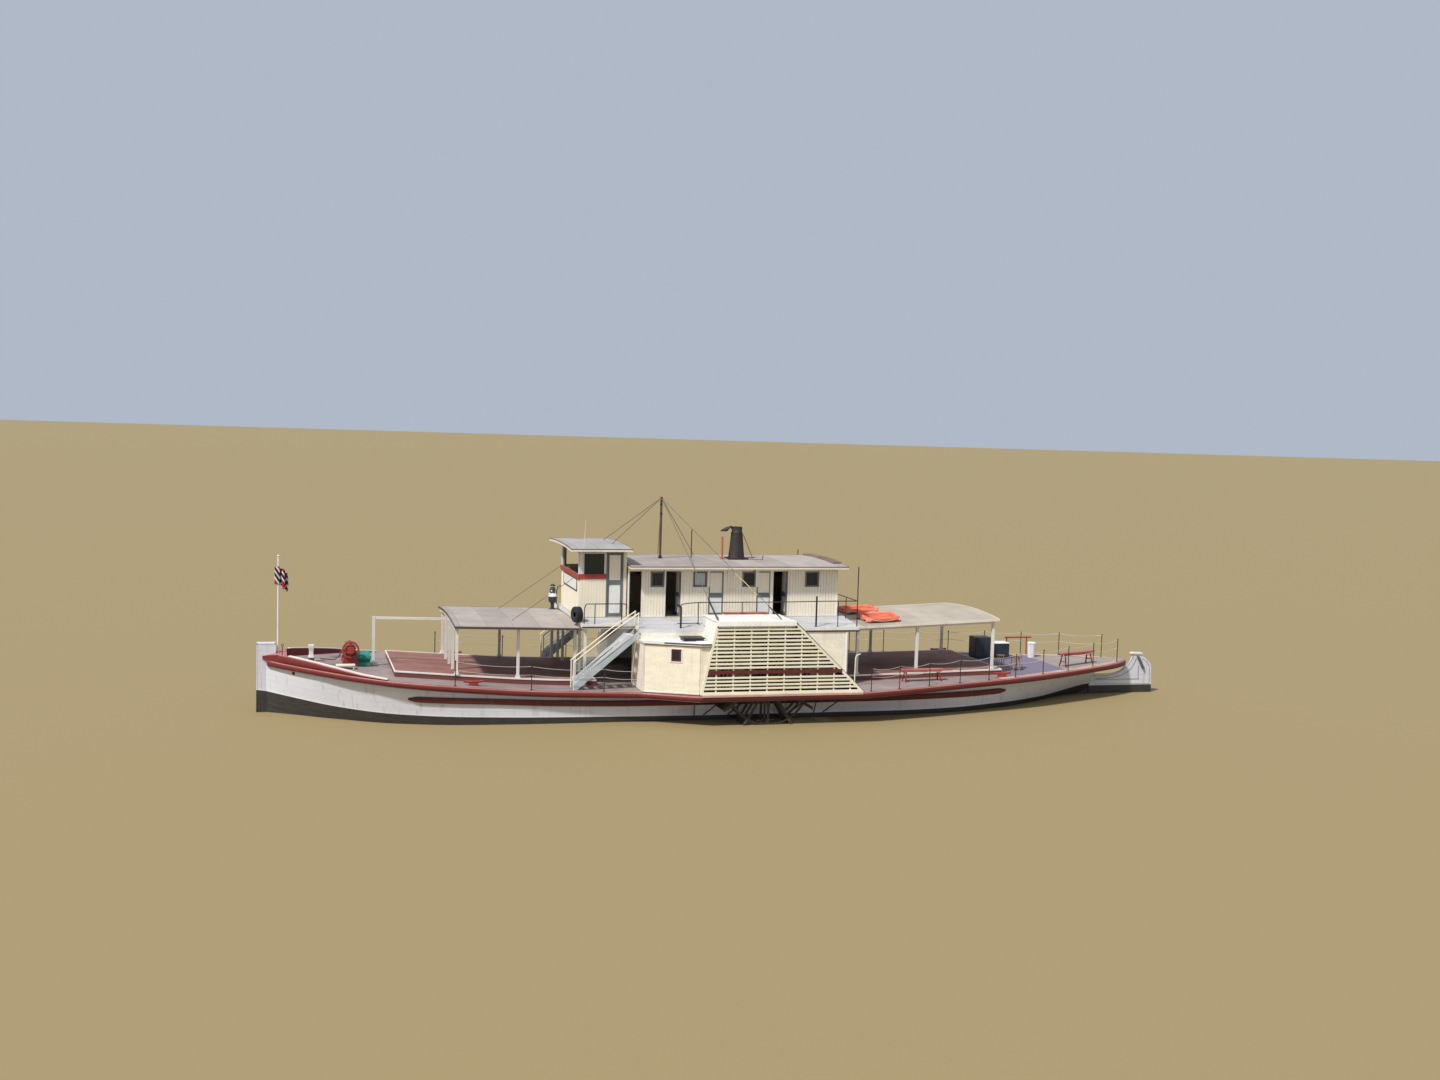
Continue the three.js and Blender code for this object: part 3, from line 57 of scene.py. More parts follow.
forward = Vector((math.sin(YAW) * math.cos(PITCH), math.cos(YAW) * math.cos(PITCH), -math.sin(PITCH)))
level = Vector((math.cos(YAW), -math.sin(YAW), 0.0))
upward = level.cross(forward)
right = math.cos(ROLL) * level + math.sin(ROLL) * upward
above = math.cos(ROLL) * upward - math.sin(ROLL) * level
lens = bpy.data.cameras.new("bank_camera")
lens.lens = 40.0
lens.sensor_width = 36.0
lens.clip_end = 600.0
camera = bpy.data.objects.new("bank_camera", lens)
scene.collection.objects.link(camera)
camera.matrix_world = Matrix((
    (right.x, above.x, -forward.x, EYE.x),
    (right.y, above.y, -forward.y, EYE.y),
    (right.z, above.z, -forward.z, EYE.z),
    (0.0, 0.0, 0.0, 1.0),
))
scene.camera = camera

# Floor at the waterline and the light: high soft sun off the port bow, pale sky all round.
# The floor is a wide matt plane, and is no part of the boat.
SUN_FROM = Vector((-0.51, -0.36, 0.78))


def make(tree, kind, sockets=None, **settings):
    """Adds a node; a socket's value is a number, a colour or another node's output"""
    made = tree.nodes.new(kind)
    for name, value in settings.items():
        setattr(made, name, value)
    for key, value in (sockets or {}).items():
        if isinstance(value, bpy.types.NodeSocket):
            tree.links.new(value, made.inputs[key])
        else:
            made.inputs[key].default_value = value
    return made


def srgb(code):
    """A colour written as rrggbb, in the shader's linear light"""
    parts = [int(code[i:i + 2], 16) / 255 for i in (0, 2, 4)]
    return tuple(p / 12.92 if p <= 0.04045 else ((p + 0.055) / 1.055) ** 2.4 for p in parts) + (1.0,)


floor_paint = bpy.data.materials.new("studio_floor")
floor_paint.use_nodes = True
floor_shader = floor_paint.node_tree.nodes["Principled BSDF"]
floor_shader.inputs["Base Color"].default_value = srgb("94835c")
floor_shader.inputs["Roughness"].default_value = 0.9
floor_mesh = bpy.data.meshes.new("studio_floor")
REACH = 900.0
floor_mesh.from_pydata([(x * REACH, y * REACH, 0) for x, y in ((-1, -1), (1, -1), (1, 1), (-1, 1))], [],
                       [(0, 1, 2, 3)])
floor_mesh.materials.append(floor_paint)
floor = bpy.data.objects.new("studio_floor", floor_mesh)
scene.collection.objects.link(floor)

sun = bpy.data.lights.new("sun", "SUN")
sun.energy = 3.9
sun.angle = math.radians(5)
sun.color = (1.0, 0.965, 0.91)
sun_object = bpy.data.objects.new("sun", sun)
sun_object.rotation_euler = SUN_FROM.to_track_quat("Z", "Y").to_euler()
scene.collection.objects.link(sun_object)
sky = bpy.data.worlds.new("pale_sky")
scene.world = sky
sky.use_nodes = True
sky.node_tree.nodes["Background"].inputs["Color"].default_value = (0.76, 0.85, 1.0, 1.0)
sky.node_tree.nodes["Background"].inputs["Strength"].default_value = 0.57
scene.view_settings.view_transform = "Standard"

# Hull planking: a shallow river hull with a hard but eased bilge, full amidships and fine at both
# ends, planked fore and aft and painted white over a black boot top.
HULL = [
    (0.30, 0.130, 0.120, -0.50, 0.09, -0.85, -0.90),
    (1.10, 0.850, 0.560, -0.50, 0.30, -0.85, -0.92),
    (2.50, 1.980, 1.500, -0.47, 1.05, -0.85, -0.93),
    (4.70, 3.100, 2.750, -0.45, 2.25, -0.84, -0.94),
    (7.00, 3.440, 3.350, -0.43, 2.95, -0.83, -0.94),
    (10.0, 3.500, 3.500, -0.43, 3.15, -0.83, -0.94),
    (22.0, 3.500, 3.500, -0.43, 3.15, -0.83, -0.94),
    (25.0, 3.300, 3.180, -0.38, 2.65, -0.78, -0.90),
    (27.5, 2.750, 2.420, -0.20, 1.75, -0.62, -0.80),
    (29.5, 2.050, 1.480, 0.06, 0.85, -0.33, -0.60),
    (31.0, 1.450, 0.760, 0.32, 0.30, -0.08, -0.35),
    (32.4, 0.850, 0.260, 0.56, 0.11, 0.26, 0.06),
]
FORE_EDGE = [
    (0.35, 0.280, 1.660), (1.10, 1.000, 1.605), (2.50, 2.150, 1.502), (3.40, 2.750, 1.435),
    (4.70, 3.350, 1.338), (6.00, 3.600, 1.240), (7.40, 3.660, 1.135), (8.75, 3.720, 1.045),
    (10.1, 3.785, 0.985), (11.5, 3.850, 0.950), (12.95, 4.020, 0.930),
]
AFT_EDGE = [
    (20.9, 4.980, 0.950), (23.0, 4.500, 0.980), (25.5, 3.850, 1.030), (28.0, 3.150, 1.070),
    (30.35, 2.200, 1.100), (32.0, 1.470, 1.140), (33.2, 0.850, 1.160), (33.95, 0.300, 1.180),
]
GUARD = [(12.95, 4.020, 0.930), (14.80, 4.960, 0.920), (20.9, 4.980, 0.950)]
DECK_THICK = 0.2
PAINT_LINE = [(0.0, 0.79), (1.41, 0.60), (2.97, 0.43), (4.74, 0.335), (6.37, 0.29), (10.0, 0.22),
              (16.0, 0.17), (24.0, 0.17), (27.5, 0.20), (29.5, 0.20), (30.7, 0.27), (32.1, 0.43),
              (33.0, 0.47)]
LINE_END = PAINT_LINE[-1][0]


def evenly(start, end, size):
    """Even values from start to end, both among them"""
    return [start + (end - start) * i / size for i in range(size + 1)]


def around(size, start=0.0):
    """Even angles round a circle"""
    return [start + 2 * math.pi * k / size for k in range(size)]


def straight(table, distance, column):
    """Straight-line reading of a table"""
    for low, high in zip(table, table[1:]):
        if distance <= high[0] or high is table[-1]:
            share = (distance - low[0]) / (high[0] - low[0])
            return low[column] + share * (high[column] - low[column])


def fair(table, distance, column):
    """Reading of a table along a fair curve through its rows, which never overshoots them"""
    x = [row[0] for row in table]
    v = [row[column] for row in table]
    rise = [(v[i + 1] - v[i]) / (x[i + 1] - x[i]) for i in range(len(x) - 1)]
    slope = [rise[0]]
    for a, b in zip(rise, rise[1:]):
        slope.append(0.0 if a * b <= 0 else 2 * a * b / (a + b))
    slope.append(rise[-1])
    at = 0
    while at < len(rise) - 1 and x[at + 1] < distance:
        at += 1
    wide = x[at + 1] - x[at]
    t = (distance - x[at]) / wide
    return ((2 * t ** 3 - 3 * t ** 2 + 1) * v[at] + (t ** 3 - 2 * t ** 2 + t) * wide * slope[at]
            + (-2 * t ** 3 + 3 * t ** 2) * v[at + 1] + (t ** 3 - t ** 2) * wide * slope[at + 1])


def deck_edge(distance, column):
    """Half width (1) or underside (2) of the main deck's edge"""
    if distance <= FORE_EDGE[-1][0]:
        return fair(FORE_EDGE, distance, column)
    if distance < AFT_EDGE[0][0]:
        return straight(GUARD, distance, column)
    return fair(AFT_EDGE, distance, column)


def deck_top(distance):
    """Height of the main deck"""
    return deck_edge(distance, 2) + DECK_THICK


def eased(corners, rounds=3):
    """A line of corners cut again and again until they are round; its ends stay"""
    for _ in range(rounds):
        cut = [corners[0]]
        for a, b in zip(corners, corners[1:]):
            cut.append(tuple(0.75 * p + 0.25 * q for p, q in zip(a, b)))
            cut.append(tuple(0.25 * p + 0.75 * q for p, q in zip(a, b)))
        cut.append(corners[-1])
        corners = cut
    return corners


def xyz(tree, vector=None):
    """The parts of a vector, or of the object coordinates"""
    vector = vector or make(tree, "ShaderNodeTexCoord").outputs["Object"]
    return make(tree, "ShaderNodeSeparateXYZ", {0: vector}).outputs


def true_normal(tree):
    """The parts of the face's own direction"""
    return xyz(tree, make(tree, "ShaderNodeNewGeometry").outputs["True Normal"])


def cloud(tree, scale, detail=5.0, rough=0.6):
    """Soft noise from 0 to 1 at this many patches a metre along x, y, z"""
    spot = make(tree, "ShaderNodeTexCoord").outputs["Object"]
    place = make(tree, "ShaderNodeMapping", {"Vector": spot, "Scale": scale}).outputs["Vector"]
    return make(tree, "ShaderNodeTexNoise",
                {"Vector": place, "Scale": 1.0, "Detail": detail, "Roughness": rough}).outputs["Fac"]


def between(tree, value, low, high, start=0.0, end=1.0):
    """start below low, end above high, and a soft step between"""
    return make(tree, "ShaderNodeMapRange",
                {"Value": value, "From Min": low, "From Max": high, "To Min": start, "To Max": end},
                interpolation_type="SMOOTHSTEP").outputs["Result"]


def count(tree, operation, *values):
    """A sum in the tree"""
    return make(tree, "ShaderNodeMath", dict(enumerate(values)), operation=operation).outputs[0]


def over(tree, amount, base, cover):
    """The cover colour laid over the base colour"""
    return make(tree, "ShaderNodeMix", {0: amount, 6: base, 7: cover}, data_type="RGBA").outputs[2]


def shaded(tree, amount, base):
    """A colour times a brightness"""
    grey = make(tree, "ShaderNodeCombineColor", {0: amount, 1: amount, 2: amount}).outputs[0]
    return make(tree, "ShaderNodeMix", {0: 1.0, 6: base, 7: grey}, data_type="RGBA",
                blend_type="MULTIPLY").outputs[2]


def surface(name, metallic=0.0):
    """An empty material, its tree and its shader"""
    material = bpy.data.materials.new(name)
    material.use_nodes = True
    shader = material.node_tree.nodes["Principled BSDF"]
    shader.inputs["Metallic"].default_value = metallic
    return material, material.node_tree, shader


def wire_up(tree, shader, colour, rough, height, depth):
    """Colour, roughness and bump into the shader"""
    tree.links.new(colour, shader.inputs["Base Color"])
    tree.links.new(rough, shader.inputs["Roughness"])
    bump = make(tree, "ShaderNodeBump", {"Height": height, "Strength": 0.6, "Distance": depth})
    tree.links.new(bump.outputs["Normal"], shader.inputs["Normal"])


SHARP = math.radians(40)


def settle(thing, slot, body="boat", bevel=0.0, rounds=1):
    """Eased edges if any, then its body; slot is not used"""
    if bevel:
        edge = thing.modifiers.new("eased_edges", "BEVEL")
        edge.width, edge.segments, edge.limit_method = bevel, rounds, "ANGLE"
        edge.angle_limit = SHARP
    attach(thing, body)
    return thing


def piece(name, shapes, finish, slot, body="boat", bevel=0.0, smooth=0.0):
    """One mesh of closed shapes, each a list of points and a list of faces, riding on a body"""
    points, faces = [], []
    for shape_points, shape_faces in shapes:
        start = len(points)
        points += [tuple(p) for p in shape_points]
        faces += [tuple(i + start for i in face) for face in shape_faces]
    mesh = bpy.data.meshes.new(name)
    mesh.from_pydata(points, [], faces)
    work = bmesh.new()
    work.from_mesh(mesh)
    bmesh.ops.recalc_face_normals(work, faces=work.faces)
    work.to_mesh(mesh)
    work.free()
    mesh.materials.append(finish)
    if smooth:
        mesh.shade_smooth()
        mesh.set_sharp_from_angle(angle=math.radians(smooth))
    thing = bpy.data.objects.new(name, mesh)
    scene.collection.objects.link(thing)
    return settle(thing, slot, body, bevel, rounds=2)


def strip(rings):
    """A closed shape over rings of points that lie one after the other"""
    size = len(rings[0])
    faces = [(i + j, i + (j + 1) % size, i + (j + 1) % size + size, i + j + size)
             for i in range(0, (len(rings) - 1) * size, size) for j in range(size)]
    last = (len(rings) - 1) * size
    faces += [tuple(range(size)), tuple(range(last, last + size))]
    return [p for ring in rings for p in ring], faces


def hull_section(distance):
    """Starboard half of a section, keel to deck"""
    deck, bilge, bilge_z, bottom, bottom_z, keel_z = (fair(HULL, distance, c) for c in range(1, 7))
    top = deck_edge(distance, 2) + 0.01
    return eased([(0.0, keel_z), (bottom, bottom_z), (bilge, bilge_z), (deck, top)])


def paint_hull():
    """White over black, split at a line whose height each point carries"""
    material, tree, shader = surface("hull_paint")
    line = make(tree, "ShaderNodeAttribute", attribute_name="above_line").outputs["Fac"]
    white = over(tree, cloud(tree, (0.7, 0.7, 1.6)), srgb("c9cbd6"), srgb("e4e5ec"))
    drips = between(tree, cloud(tree, (7.0, 7.0, 0.55), 6.0), 0.52, 0.72, 0.0, 0.42)
    white = over(tree, drips, white, srgb("9c9088"))
    scrapes = between(tree, cloud(tree, (2.0, 2.0, 14.0), 8.0, 0.75), 0.63, 0.70, 0.0, 0.55)
    white = over(tree, scrapes, white, srgb("85776c"))
    # A brighter white band just above the boot top: partly fresh paint at the line's edge, partly a painted
    # highlight where the sun catches the turn of the bilge.
    white = over(tree, between(tree, line, 0.0, 0.10, 0.55, 0.0), white, srgb("f3f3f3"))
    black = over(tree, cloud(tree, (3.0, 3.0, 9.0), 7.0, 0.7), srgb("17171a"), srgb("4a4745"))
    ragged = count(tree, "ADD", line, count(tree, "MULTIPLY", cloud(tree, (9.0, 9.0, 9.0)), 0.012))
    colour = over(tree, between(tree, ragged, 0.004, 0.012), black, white)
    plank = count(tree, "PINGPONG", line, 0.10)
    seam = between(tree, plank, 0.0, 0.006, 1.0, 0.0)
    colour = over(tree, count(tree, "MULTIPLY", seam, 0.16), colour, srgb("6d6864"))
    butt = count(tree, "PINGPONG", xyz(tree)["X"], 2.1)
    colour = over(tree, between(tree, butt, 0.0, 0.006, 0.12, 0.0), colour, srgb("6d6864"))
    height = count(tree, "SUBTRACT", cloud(tree, (1.2, 1.2, 2.6), 3.0), count(tree, "MULTIPLY", seam, 0.5))
    wire_up(tree, shader, colour, between(tree, drips, 0.0, 0.5, 0.42, 0.7), height, 0.012)
    return material


hull_paint = paint_hull()


def mark_line(thing):
    """Stores each point's height above the edge of the boot top"""
    layer = thing.data.attributes.new("above_line", "FLOAT", "POINT")
    for point, value in zip(thing.data.vertices, layer.data):
        value.value = point.co.z - fair(PAINT_LINE, max(0.0, min(LINE_END, point.co.x + HALF_LENGTH)), 1)


rings = []
for distance in evenly(HULL[0][0], HULL[-1][0], 96):
    half = hull_section(distance)
    outline = half + [(-y, z) for y, z in half[:0:-1]]
    rings.append([(aft(distance), y, z) for y, z in outline])
planking = piece("hull_planking", [strip(rings)], hull_paint, "hull_white", smooth=40)
mark_line(planking)

# Backbone: square white stem standing above the deck, with keel, shoe, deadwood and stern post.
# Heavy hardwood timbers, bolted, and painted with the hull.
STEM_HEAD = 2.44
KEEL_LOW = -1.02
KEEL_WIDE = (-0.09, 0.09)


def block(x, y, z):
    """A box between pairs of x, y and z"""
    (x0, x1), (y0, y1), (z0, z1) = (sorted(pair) for pair in (x, y, z))
    points = [(a, b, c) for a in (x0, x1) for b in (y0, y1) for c in (z0, z1)]
    return points, [(0, 1, 3, 2), (4, 6, 7, 5), (0, 4, 5, 1), (2, 3, 7, 6), (0, 2, 6, 4), (1, 5, 7, 3)]


def box(d, y, z, side=1):
    """A box between pairs of distances, of y on one side of the boat, and of heights"""
    return block([aft(v) for v in d], [side * v for v in y], z)


def plate(outline, y, side=1):
    """A side view's outline, given as distances and heights, between two y"""
    return strip([[(aft(d), side * v, z) for d, z in outline] for v in y])


backbone = piece("stem_and_keel", [
    box((0, 0.65), (-0.16, 0.16), (KEEL_LOW, STEM_HEAD)),
    box((0.325, 32.4), KEEL_WIDE, (KEEL_LOW, -0.78)),
    box((32.2, 32.76), KEEL_WIDE, (KEEL_LOW, -0.95)),
    plate([(26.5, -0.88), (32.4, -0.88), (32.4, 1.13), (31.5, 0.82)], KEEL_WIDE),
], hull_paint, "hull_white", bevel=0.012)
mark_line(backbone)
stem_trim = [box(d, (0.158, 0.168), (low, STEM_HEAD), side) for side in (-1, 1) for d, low in (
    ((0.0, 0.04), 0.0), ((0.0, 0.65), STEM_HEAD - 0.045), ((0.61, 0.65), 1.95))]
mark_line(piece("stem_trim", stem_trim, hull_paint, "hull_white", bevel=0.003))
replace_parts(planking, "hull")
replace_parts(backbone, "hull")


# Oxide-red timber: guard mouldings and wales, brushed many times and scuffed where banks rub.
# Two half-round mouldings follow the deck's edge, and a flat wale lies along each side below.
def painted(name, colour, faded, bare="6b5a4c", rough=0.5, wear=0.05,
            streaks=0.2, grain=1.0, seams=None, seam_tone="4d453d", sides=None, metallic=0.0,
            depth=0.004):
    """Brushed paint with faded patches, drips and chips. seams are an axis, a board's width and a
    line's width; sides is the colour of faces that aren't level"""
    material, tree, shader = surface(name, metallic)
    colour_out = over(tree, between(tree, cloud(tree, (0.9 * grain,) * 3), 0.3, 0.7), srgb(colour),
                      srgb(faded))
    fine = cloud(tree, (16.0 * grain,) * 3, 6.0, 0.7)
    height = fine
    if seams:
        axis, pitch, line = seams
        along = xyz(tree)[axis]
        number = count(tree, "FLOOR", count(tree, "DIVIDE", along, pitch))
        tone = make(tree, "ShaderNodeTexWhiteNoise", {"W": number}, noise_dimensions="1D").outputs["Value"]
        colour_out = shaded(tree, between(tree, tone, 0.0, 1.0, 0.86, 1.06), colour_out)
        seam = between(tree, count(tree, "PINGPONG", along, pitch / 2), line * 0.3, line, 1.0, 0.0)
        colour_out = over(tree, count(tree, "MULTIPLY", seam, 0.75), colour_out, srgb(seam_tone))
        height = count(tree, "SUBTRACT", fine, count(tree, "MULTIPLY", seam, 2.0))
    if sides:
        level = between(tree, true_normal(tree)["Z"], 0.35, 0.75)
        wall = shaded(tree, between(tree, cloud(tree, (2.0, 2.0, 5.0)), 0.3, 0.7, 0.93, 1.05), srgb(sides))
        colour_out = over(tree, level, wall, colour_out)
    drips = between(tree, cloud(tree, (10.0, 10.0, 0.8), 6.0), 0.54, 0.74, 0.0, streaks)
    colour_out = over(tree, drips, colour_out, srgb("6f655b"))
    chips = between(tree, cloud(tree, (5.0, 5.0, 11.0), 9.0, 0.8), 0.62, 0.67, 0.0, wear * 4)
    colour_out = over(tree, chips, colour_out, srgb(bare))
    colour_out = shaded(tree, between(tree, fine, 0.25, 0.75, 0.93, 1.06), colour_out)
    wire_up(tree, shader, colour_out, between(tree, fine, 0.3, 0.7, rough - 0.06, rough + 0.1), height,
            depth)
    return material


# Level tops of the mouldings, bulwark and cheeks take the lighter pink and their sides the dark red: partly
# sun-faded paint, partly painted light falling from above.
guard_red = painted("guard_red", "a35e58", "bb7d76", bare="c9a89e", wear=0.16, streaks=0.12, sides="732728")
wale_red = painted("wale_red", "571d19", "692822", bare="4b3029", rough=0.6, wear=0.1)
# A thin grey half-round runs under the lower moulding: partly rubbed paint, partly painted shade under the
# guard's edge.
guard_shade_and_rub = painted("guard_under_shade_and_rub", "55504e", "6a6562", rough=0.7)
BULWARK = [(0.67, 0.250), (1.1, 0.280), (1.9, 0.235), (2.7, 0.165), (3.5, 0.075), (4.3, 0.030)]
GUARD_CORNERS = (12.951, 14.8, 20.901)
WALE = [(5.0, 0.80), (7.4, 0.735), (10.2, 0.62), (13.0, 0.56), (20.0, 0.55), (25.3, 0.57), (27.5, 0.59)]


def bulwark_top(distance):
    """Height of the bow bulwark"""
    return deck_top(distance) + straight(BULWARK, distance, 1)


def up(z):
    """A step straight up"""
    return Vector((0, 0, z))


def outboard(distance, side, step=0.05):
    """Point on the deck's edge and the plan direction that faces away from the boat there"""
    a, b = (Vector((aft(d), side * deck_edge(d, 1), 0.0)) for d in (distance - step, distance + step))
    run = (b - a).normalized()
    out = Vector((run.y, -run.x, 0.0)) * -side
    return Vector((aft(distance), side * deck_edge(distance, 1), 0.0)), out


def follow_edge(marks, section):
    """A timber bent round each side's deck edge; section gives outward steps and heights at a distance"""
    bent = []
    for side in (-1, 1):
        spots = [(*outboard(d, side), section(d)) for d in marks]
        bent.append(strip([[spot + out * u + up(z) for u, z in ring]
                           for spot, out, ring in spots]))
    return bent


def half_round(low, high, proud, sunk=0.03, sides=9):
    """A half-round section, from its low and high edges and its depth at each distance"""
    def section(d):
        z0, z1, depth = low(d), high(d), proud(d)
        return [(-sunk, z1), (-sunk, z0)] + [
            (depth * math.cos(a), (z0 + z1) / 2 + (z1 - z0) / 2 * math.sin(a))
            for a in evenly(-math.pi / 2, math.pi / 2, sides - 1)]
    return section


def marks_between(start, end, pitch):
    """Even distances, with the guard's corners among them"""
    even = evenly(start, end, max(2, round((end - start) / pitch)))
    return sorted(set(even + [d for d in GUARD_CORNERS if start < d < end]))


def tip(distance, start, end, run):
    """Grows from 0 to 1 over a run at both ends, as a rounded end does"""
    share = min(1.0, (distance - start + 0.02) / run, (end - distance + 0.02) / run)
    return math.sqrt(max(0.0, 1 - (1 - share) ** 2))


lower_marks = marks_between(0.40, 33.88, 0.28)
lower = half_round(lambda d: deck_edge(d, 2) + 0.012, lambda d: deck_top(d) - 0.012,
                   lambda d: 0.045 * tip(d, 0.40, 33.88, 0.4) + 0.004)
upper = half_round(lambda d: deck_top(d) + 0.006, bulwark_top,
                   lambda d: 0.040 * tip(d, 0.74, 4.6, 0.3) + 0.004)
# The grey strip under the guard's edge carries painted shade as well as rubbing.
under = half_round(lambda d: deck_edge(d, 2) - 0.022, lambda d: deck_edge(d, 2) + 0.004, lambda d: 0.012)
mouldings = follow_edge(lower_marks, lower) + follow_edge(marks_between(0.74, 4.29, 0.15), upper)
piece("guard_mouldings", mouldings, guard_red, "red_trim", smooth=50)
piece("guard_under_shade_and_rub_strips", follow_edge(lower_marks, under), guard_shade_and_rub, "red_trim", smooth=50)


def side_at(distance, z):
    """Half width of the planking at a height"""
    section = hull_section(distance)
    for a, b in zip(section, section[1:]):
        if b[1] >= z:
            return a[0] + (z - a[1]) / (b[1] - a[1]) * (b[0] - a[0])
    return section[-1][0]


wales = []
for side in (-1, 1):
    rows = []
    for distance in evenly(WALE[0][0], WALE[-1][0], 82):
        full = tip(distance, WALE[0][0], WALE[-1][0], 0.45)
        middle, half = fair(WALE, distance, 1) + 0.1, 0.1 * (0.12 + 0.88 * full)
        inner, outer = (side_at(distance, middle) + d for d in (-0.05, 0.075 * full + 0.006))
        lip = outer - 0.02 * full
        rows.append([(aft(distance), side * y, middle + half * w) for y, w in (
            (inner, -1), (lip, -1), (outer, -0.7), (outer, 0.7), (lip, 1), (inner, 1))])
    wales.append(strip(rows))
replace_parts(piece("wales", wales, wale_red, "red_trim", smooth=35), "hull")

# Braces under the paddle boxes: thin forged struts of black iron, in pairs, that carry the deck
# where it runs out past the hull.
iron_black = painted("iron_black", "1b1b1d", "2c2a29", bare="5a3b2c", rough=0.45, wear=0.08)
BRACES = [(15.0, -0.32), (15.35, 0.32), (16.25, 0.32), (16.6, -0.32),
          (18.2, -0.32), (18.55, 0.32), (19.5, -0.32), (19.85, 0.32)]


def tube(path, radius, sides=8, swell=None):
    """A round bar along points; swell gives its radius at each point"""
    points = [Vector(p) for p in path]
    rows = []
    turn = None
    for i, spot in enumerate(points):
        ahead = points[min(i + 1, len(points) - 1)] - points[max(i - 1, 0)]
        ahead.normalize()
        if turn is None:
            turn = ahead.orthogonal().normalized()
        turn = (turn - ahead * turn.dot(ahead)).normalized()
        cross = ahead.cross(turn)
        reach = swell[i] if swell else radius
        rows.append([spot + reach * (math.cos(a) * turn + math.sin(a) * cross) for a in around(sides)])
    return strip(rows)


def pipe(path, radius, sides=8, side=1, swell=None):
    """A round bar along points, each a distance, a y on one side of the boat, and a height"""
    return tube([(aft(d), side * y, z) for d, y, z in path], radius, sides, swell)


def post(d, y, low, high, radius, sides=8, side=1):
    """A round bar that stands upright"""
    return pipe([(d, y, low), (d, y, high)], radius, sides, side)


struts = []
for side in (-1, 1):
    for d, lean in BRACES:
        struts += [pipe([(d, 3.48, 0.18), (d + lean, 4.7, 0.93)], 0.022, side=side),
                   pipe([(d, 4.55, 0.93), (d + 0.15, 3.5, 0.55)], 0.016, side=side)]
piece("guard_braces", struts, iron_black, "black_steel", smooth=60)

# Main deck and the raised hold decks: fore-and-aft softwood planks, worn pinkish grey on the
# guards and red-brown on the hold decks, which have a white nosing round their edge. The bow
# bulwark has a white cap and red cheeks by the stem, and tan boards edge the after deck.
HOLDS = [(4.6, 11.6, 2.35, 2.60), (21.1, 27.4, 2.60, 2.45)]


def dress(name, finish):
    """Gives a frame node a finish"""
    data = nodes[name].data
    data.materials.clear()
    data.materials.append(finish)


deck_planks = painted("guard_deck_planks", "8f807e", "a39491", bare="74665f", rough=0.75, wear=0.12,
                      streaks=0.1, seams=("Y", 0.14, 0.007), sides="8d302b")
hold_planks = painted("hold_deck_planks", "8c5a50", "9c7268", bare="6d5148", rough=0.75, wear=0.12,
                      seams=("Y", 0.13, 0.007), sides="74403a")
nosing_white = painted("nosing_white", "d9d6cf", "ebe9e4", rough=0.6, wear=0.08)
dress("main_deck", deck_planks)
dress("hold_deck_fore", hold_planks)
dress("hold_deck_aft", hold_planks)
dress("bulwark", guard_red)
NOSING = [(-0.07, 0.012), (0.018, 0.012), (0.018, -0.036), (-0.002, -0.036), (-0.002, -0.004),
          (-0.07, -0.004)]


def hold_top(distance):
    """Height of a hold deck"""
    return straight(FORE_EDGE if distance < 13 else AFT_EDGE, distance, 2) + 0.4


def quad(u0, u1, w0, w1):
    """The four corners of a section"""
    return [(u0, w0), (u1, w0), (u1, w1), (u0, w1)]


nosings = []
for start, end, half0, half1 in HOLDS:
    for side in (-1, 1):
        nosings.append(strip([[(aft(d), side * (half + u), hold_top(d) + w) for u, w in NOSING]
                              for d, half in zip(evenly(start, end, 24), evenly(half0, half1, 24))]))
    for d, half in ((start, half0), (end, half1)):
        nosings.append(box((d - 0.018, d + 0.018), (-half, half),
                           (hold_top(d) - 0.036, hold_top(d) + 0.014)))
piece("hold_deck_nosings", nosings, nosing_white, "white", smooth=30)
bulwark_caps = follow_edge(marks_between(1.07, 4.29, 0.16),
                           lambda d: quad(-0.10, 0.012, bulwark_top(d) - 0.004, bulwark_top(d) + 0.026))
piece("bulwark_caps", bulwark_caps, nosing_white, "white", smooth=30)
cheeks = []
for side in (-1, 1):
    rows = []
    for d, z in ((0.20, 2.00), (0.36, 2.03), (0.45, 2.05), (0.56, 2.07), (0.685, deck_top(0.685) + 0.25)):
        spot, out = outboard(d, side)
        outer = spot - 0.006 * out if d > 0.3 else Vector((aft(d), side * 0.19, 0.0))
        inner, foot = (aft(d), side * 0.125), deck_top(d) + 0.001
        rows.append([(*inner, foot), (*outer.xy, foot), (*outer.xy, z), (*inner, z)])
    cheeks.append(strip(rows))
piece("bow_cheeks", cheeks, guard_red, "red_trim", bevel=0.01)
covering_tan = painted("covering_board_tan", "b79a8c", "c7aea1", bare="8d7468", rough=0.75, wear=0.12)
after_marks = marks_between(27.0, 33.6, 0.3)
for name, inner, outer, high, finish, slot in (
    ("deck_margin_boards", -0.33, -0.02, 0.006, covering_tan, "cream"),
    ("deck_margin_seams", -0.36, -0.33, 0.004, wale_red, "red_trim"),
):
    laid = follow_edge(after_marks, lambda d: quad(inner, outer, deck_top(d) - 0.01, deck_top(d) + high))
    piece(name, laid, finish, slot)


def overlay(material, amount, code):
    """One more colour laid over a finished material"""
    tree = material.node_tree
    base = tree.nodes["Principled BSDF"].inputs["Base Color"]
    tree.links.new(over(tree, amount, base.links[0].from_socket, srgb(code)), base)


tree = deck_planks.node_tree
along = xyz(tree)["X"]
lavender = count(tree, "MULTIPLY", between(tree, along, aft(27.22), aft(27.26)),
                 between(tree, along, aft(30.4), aft(30.5), 0.85, 0.0))
overlay(deck_planks, lavender, "706a80")
overlay(deck_planks, between(tree, along, aft(30.4), aft(30.5), 0.0, 0.6), "9c9288")

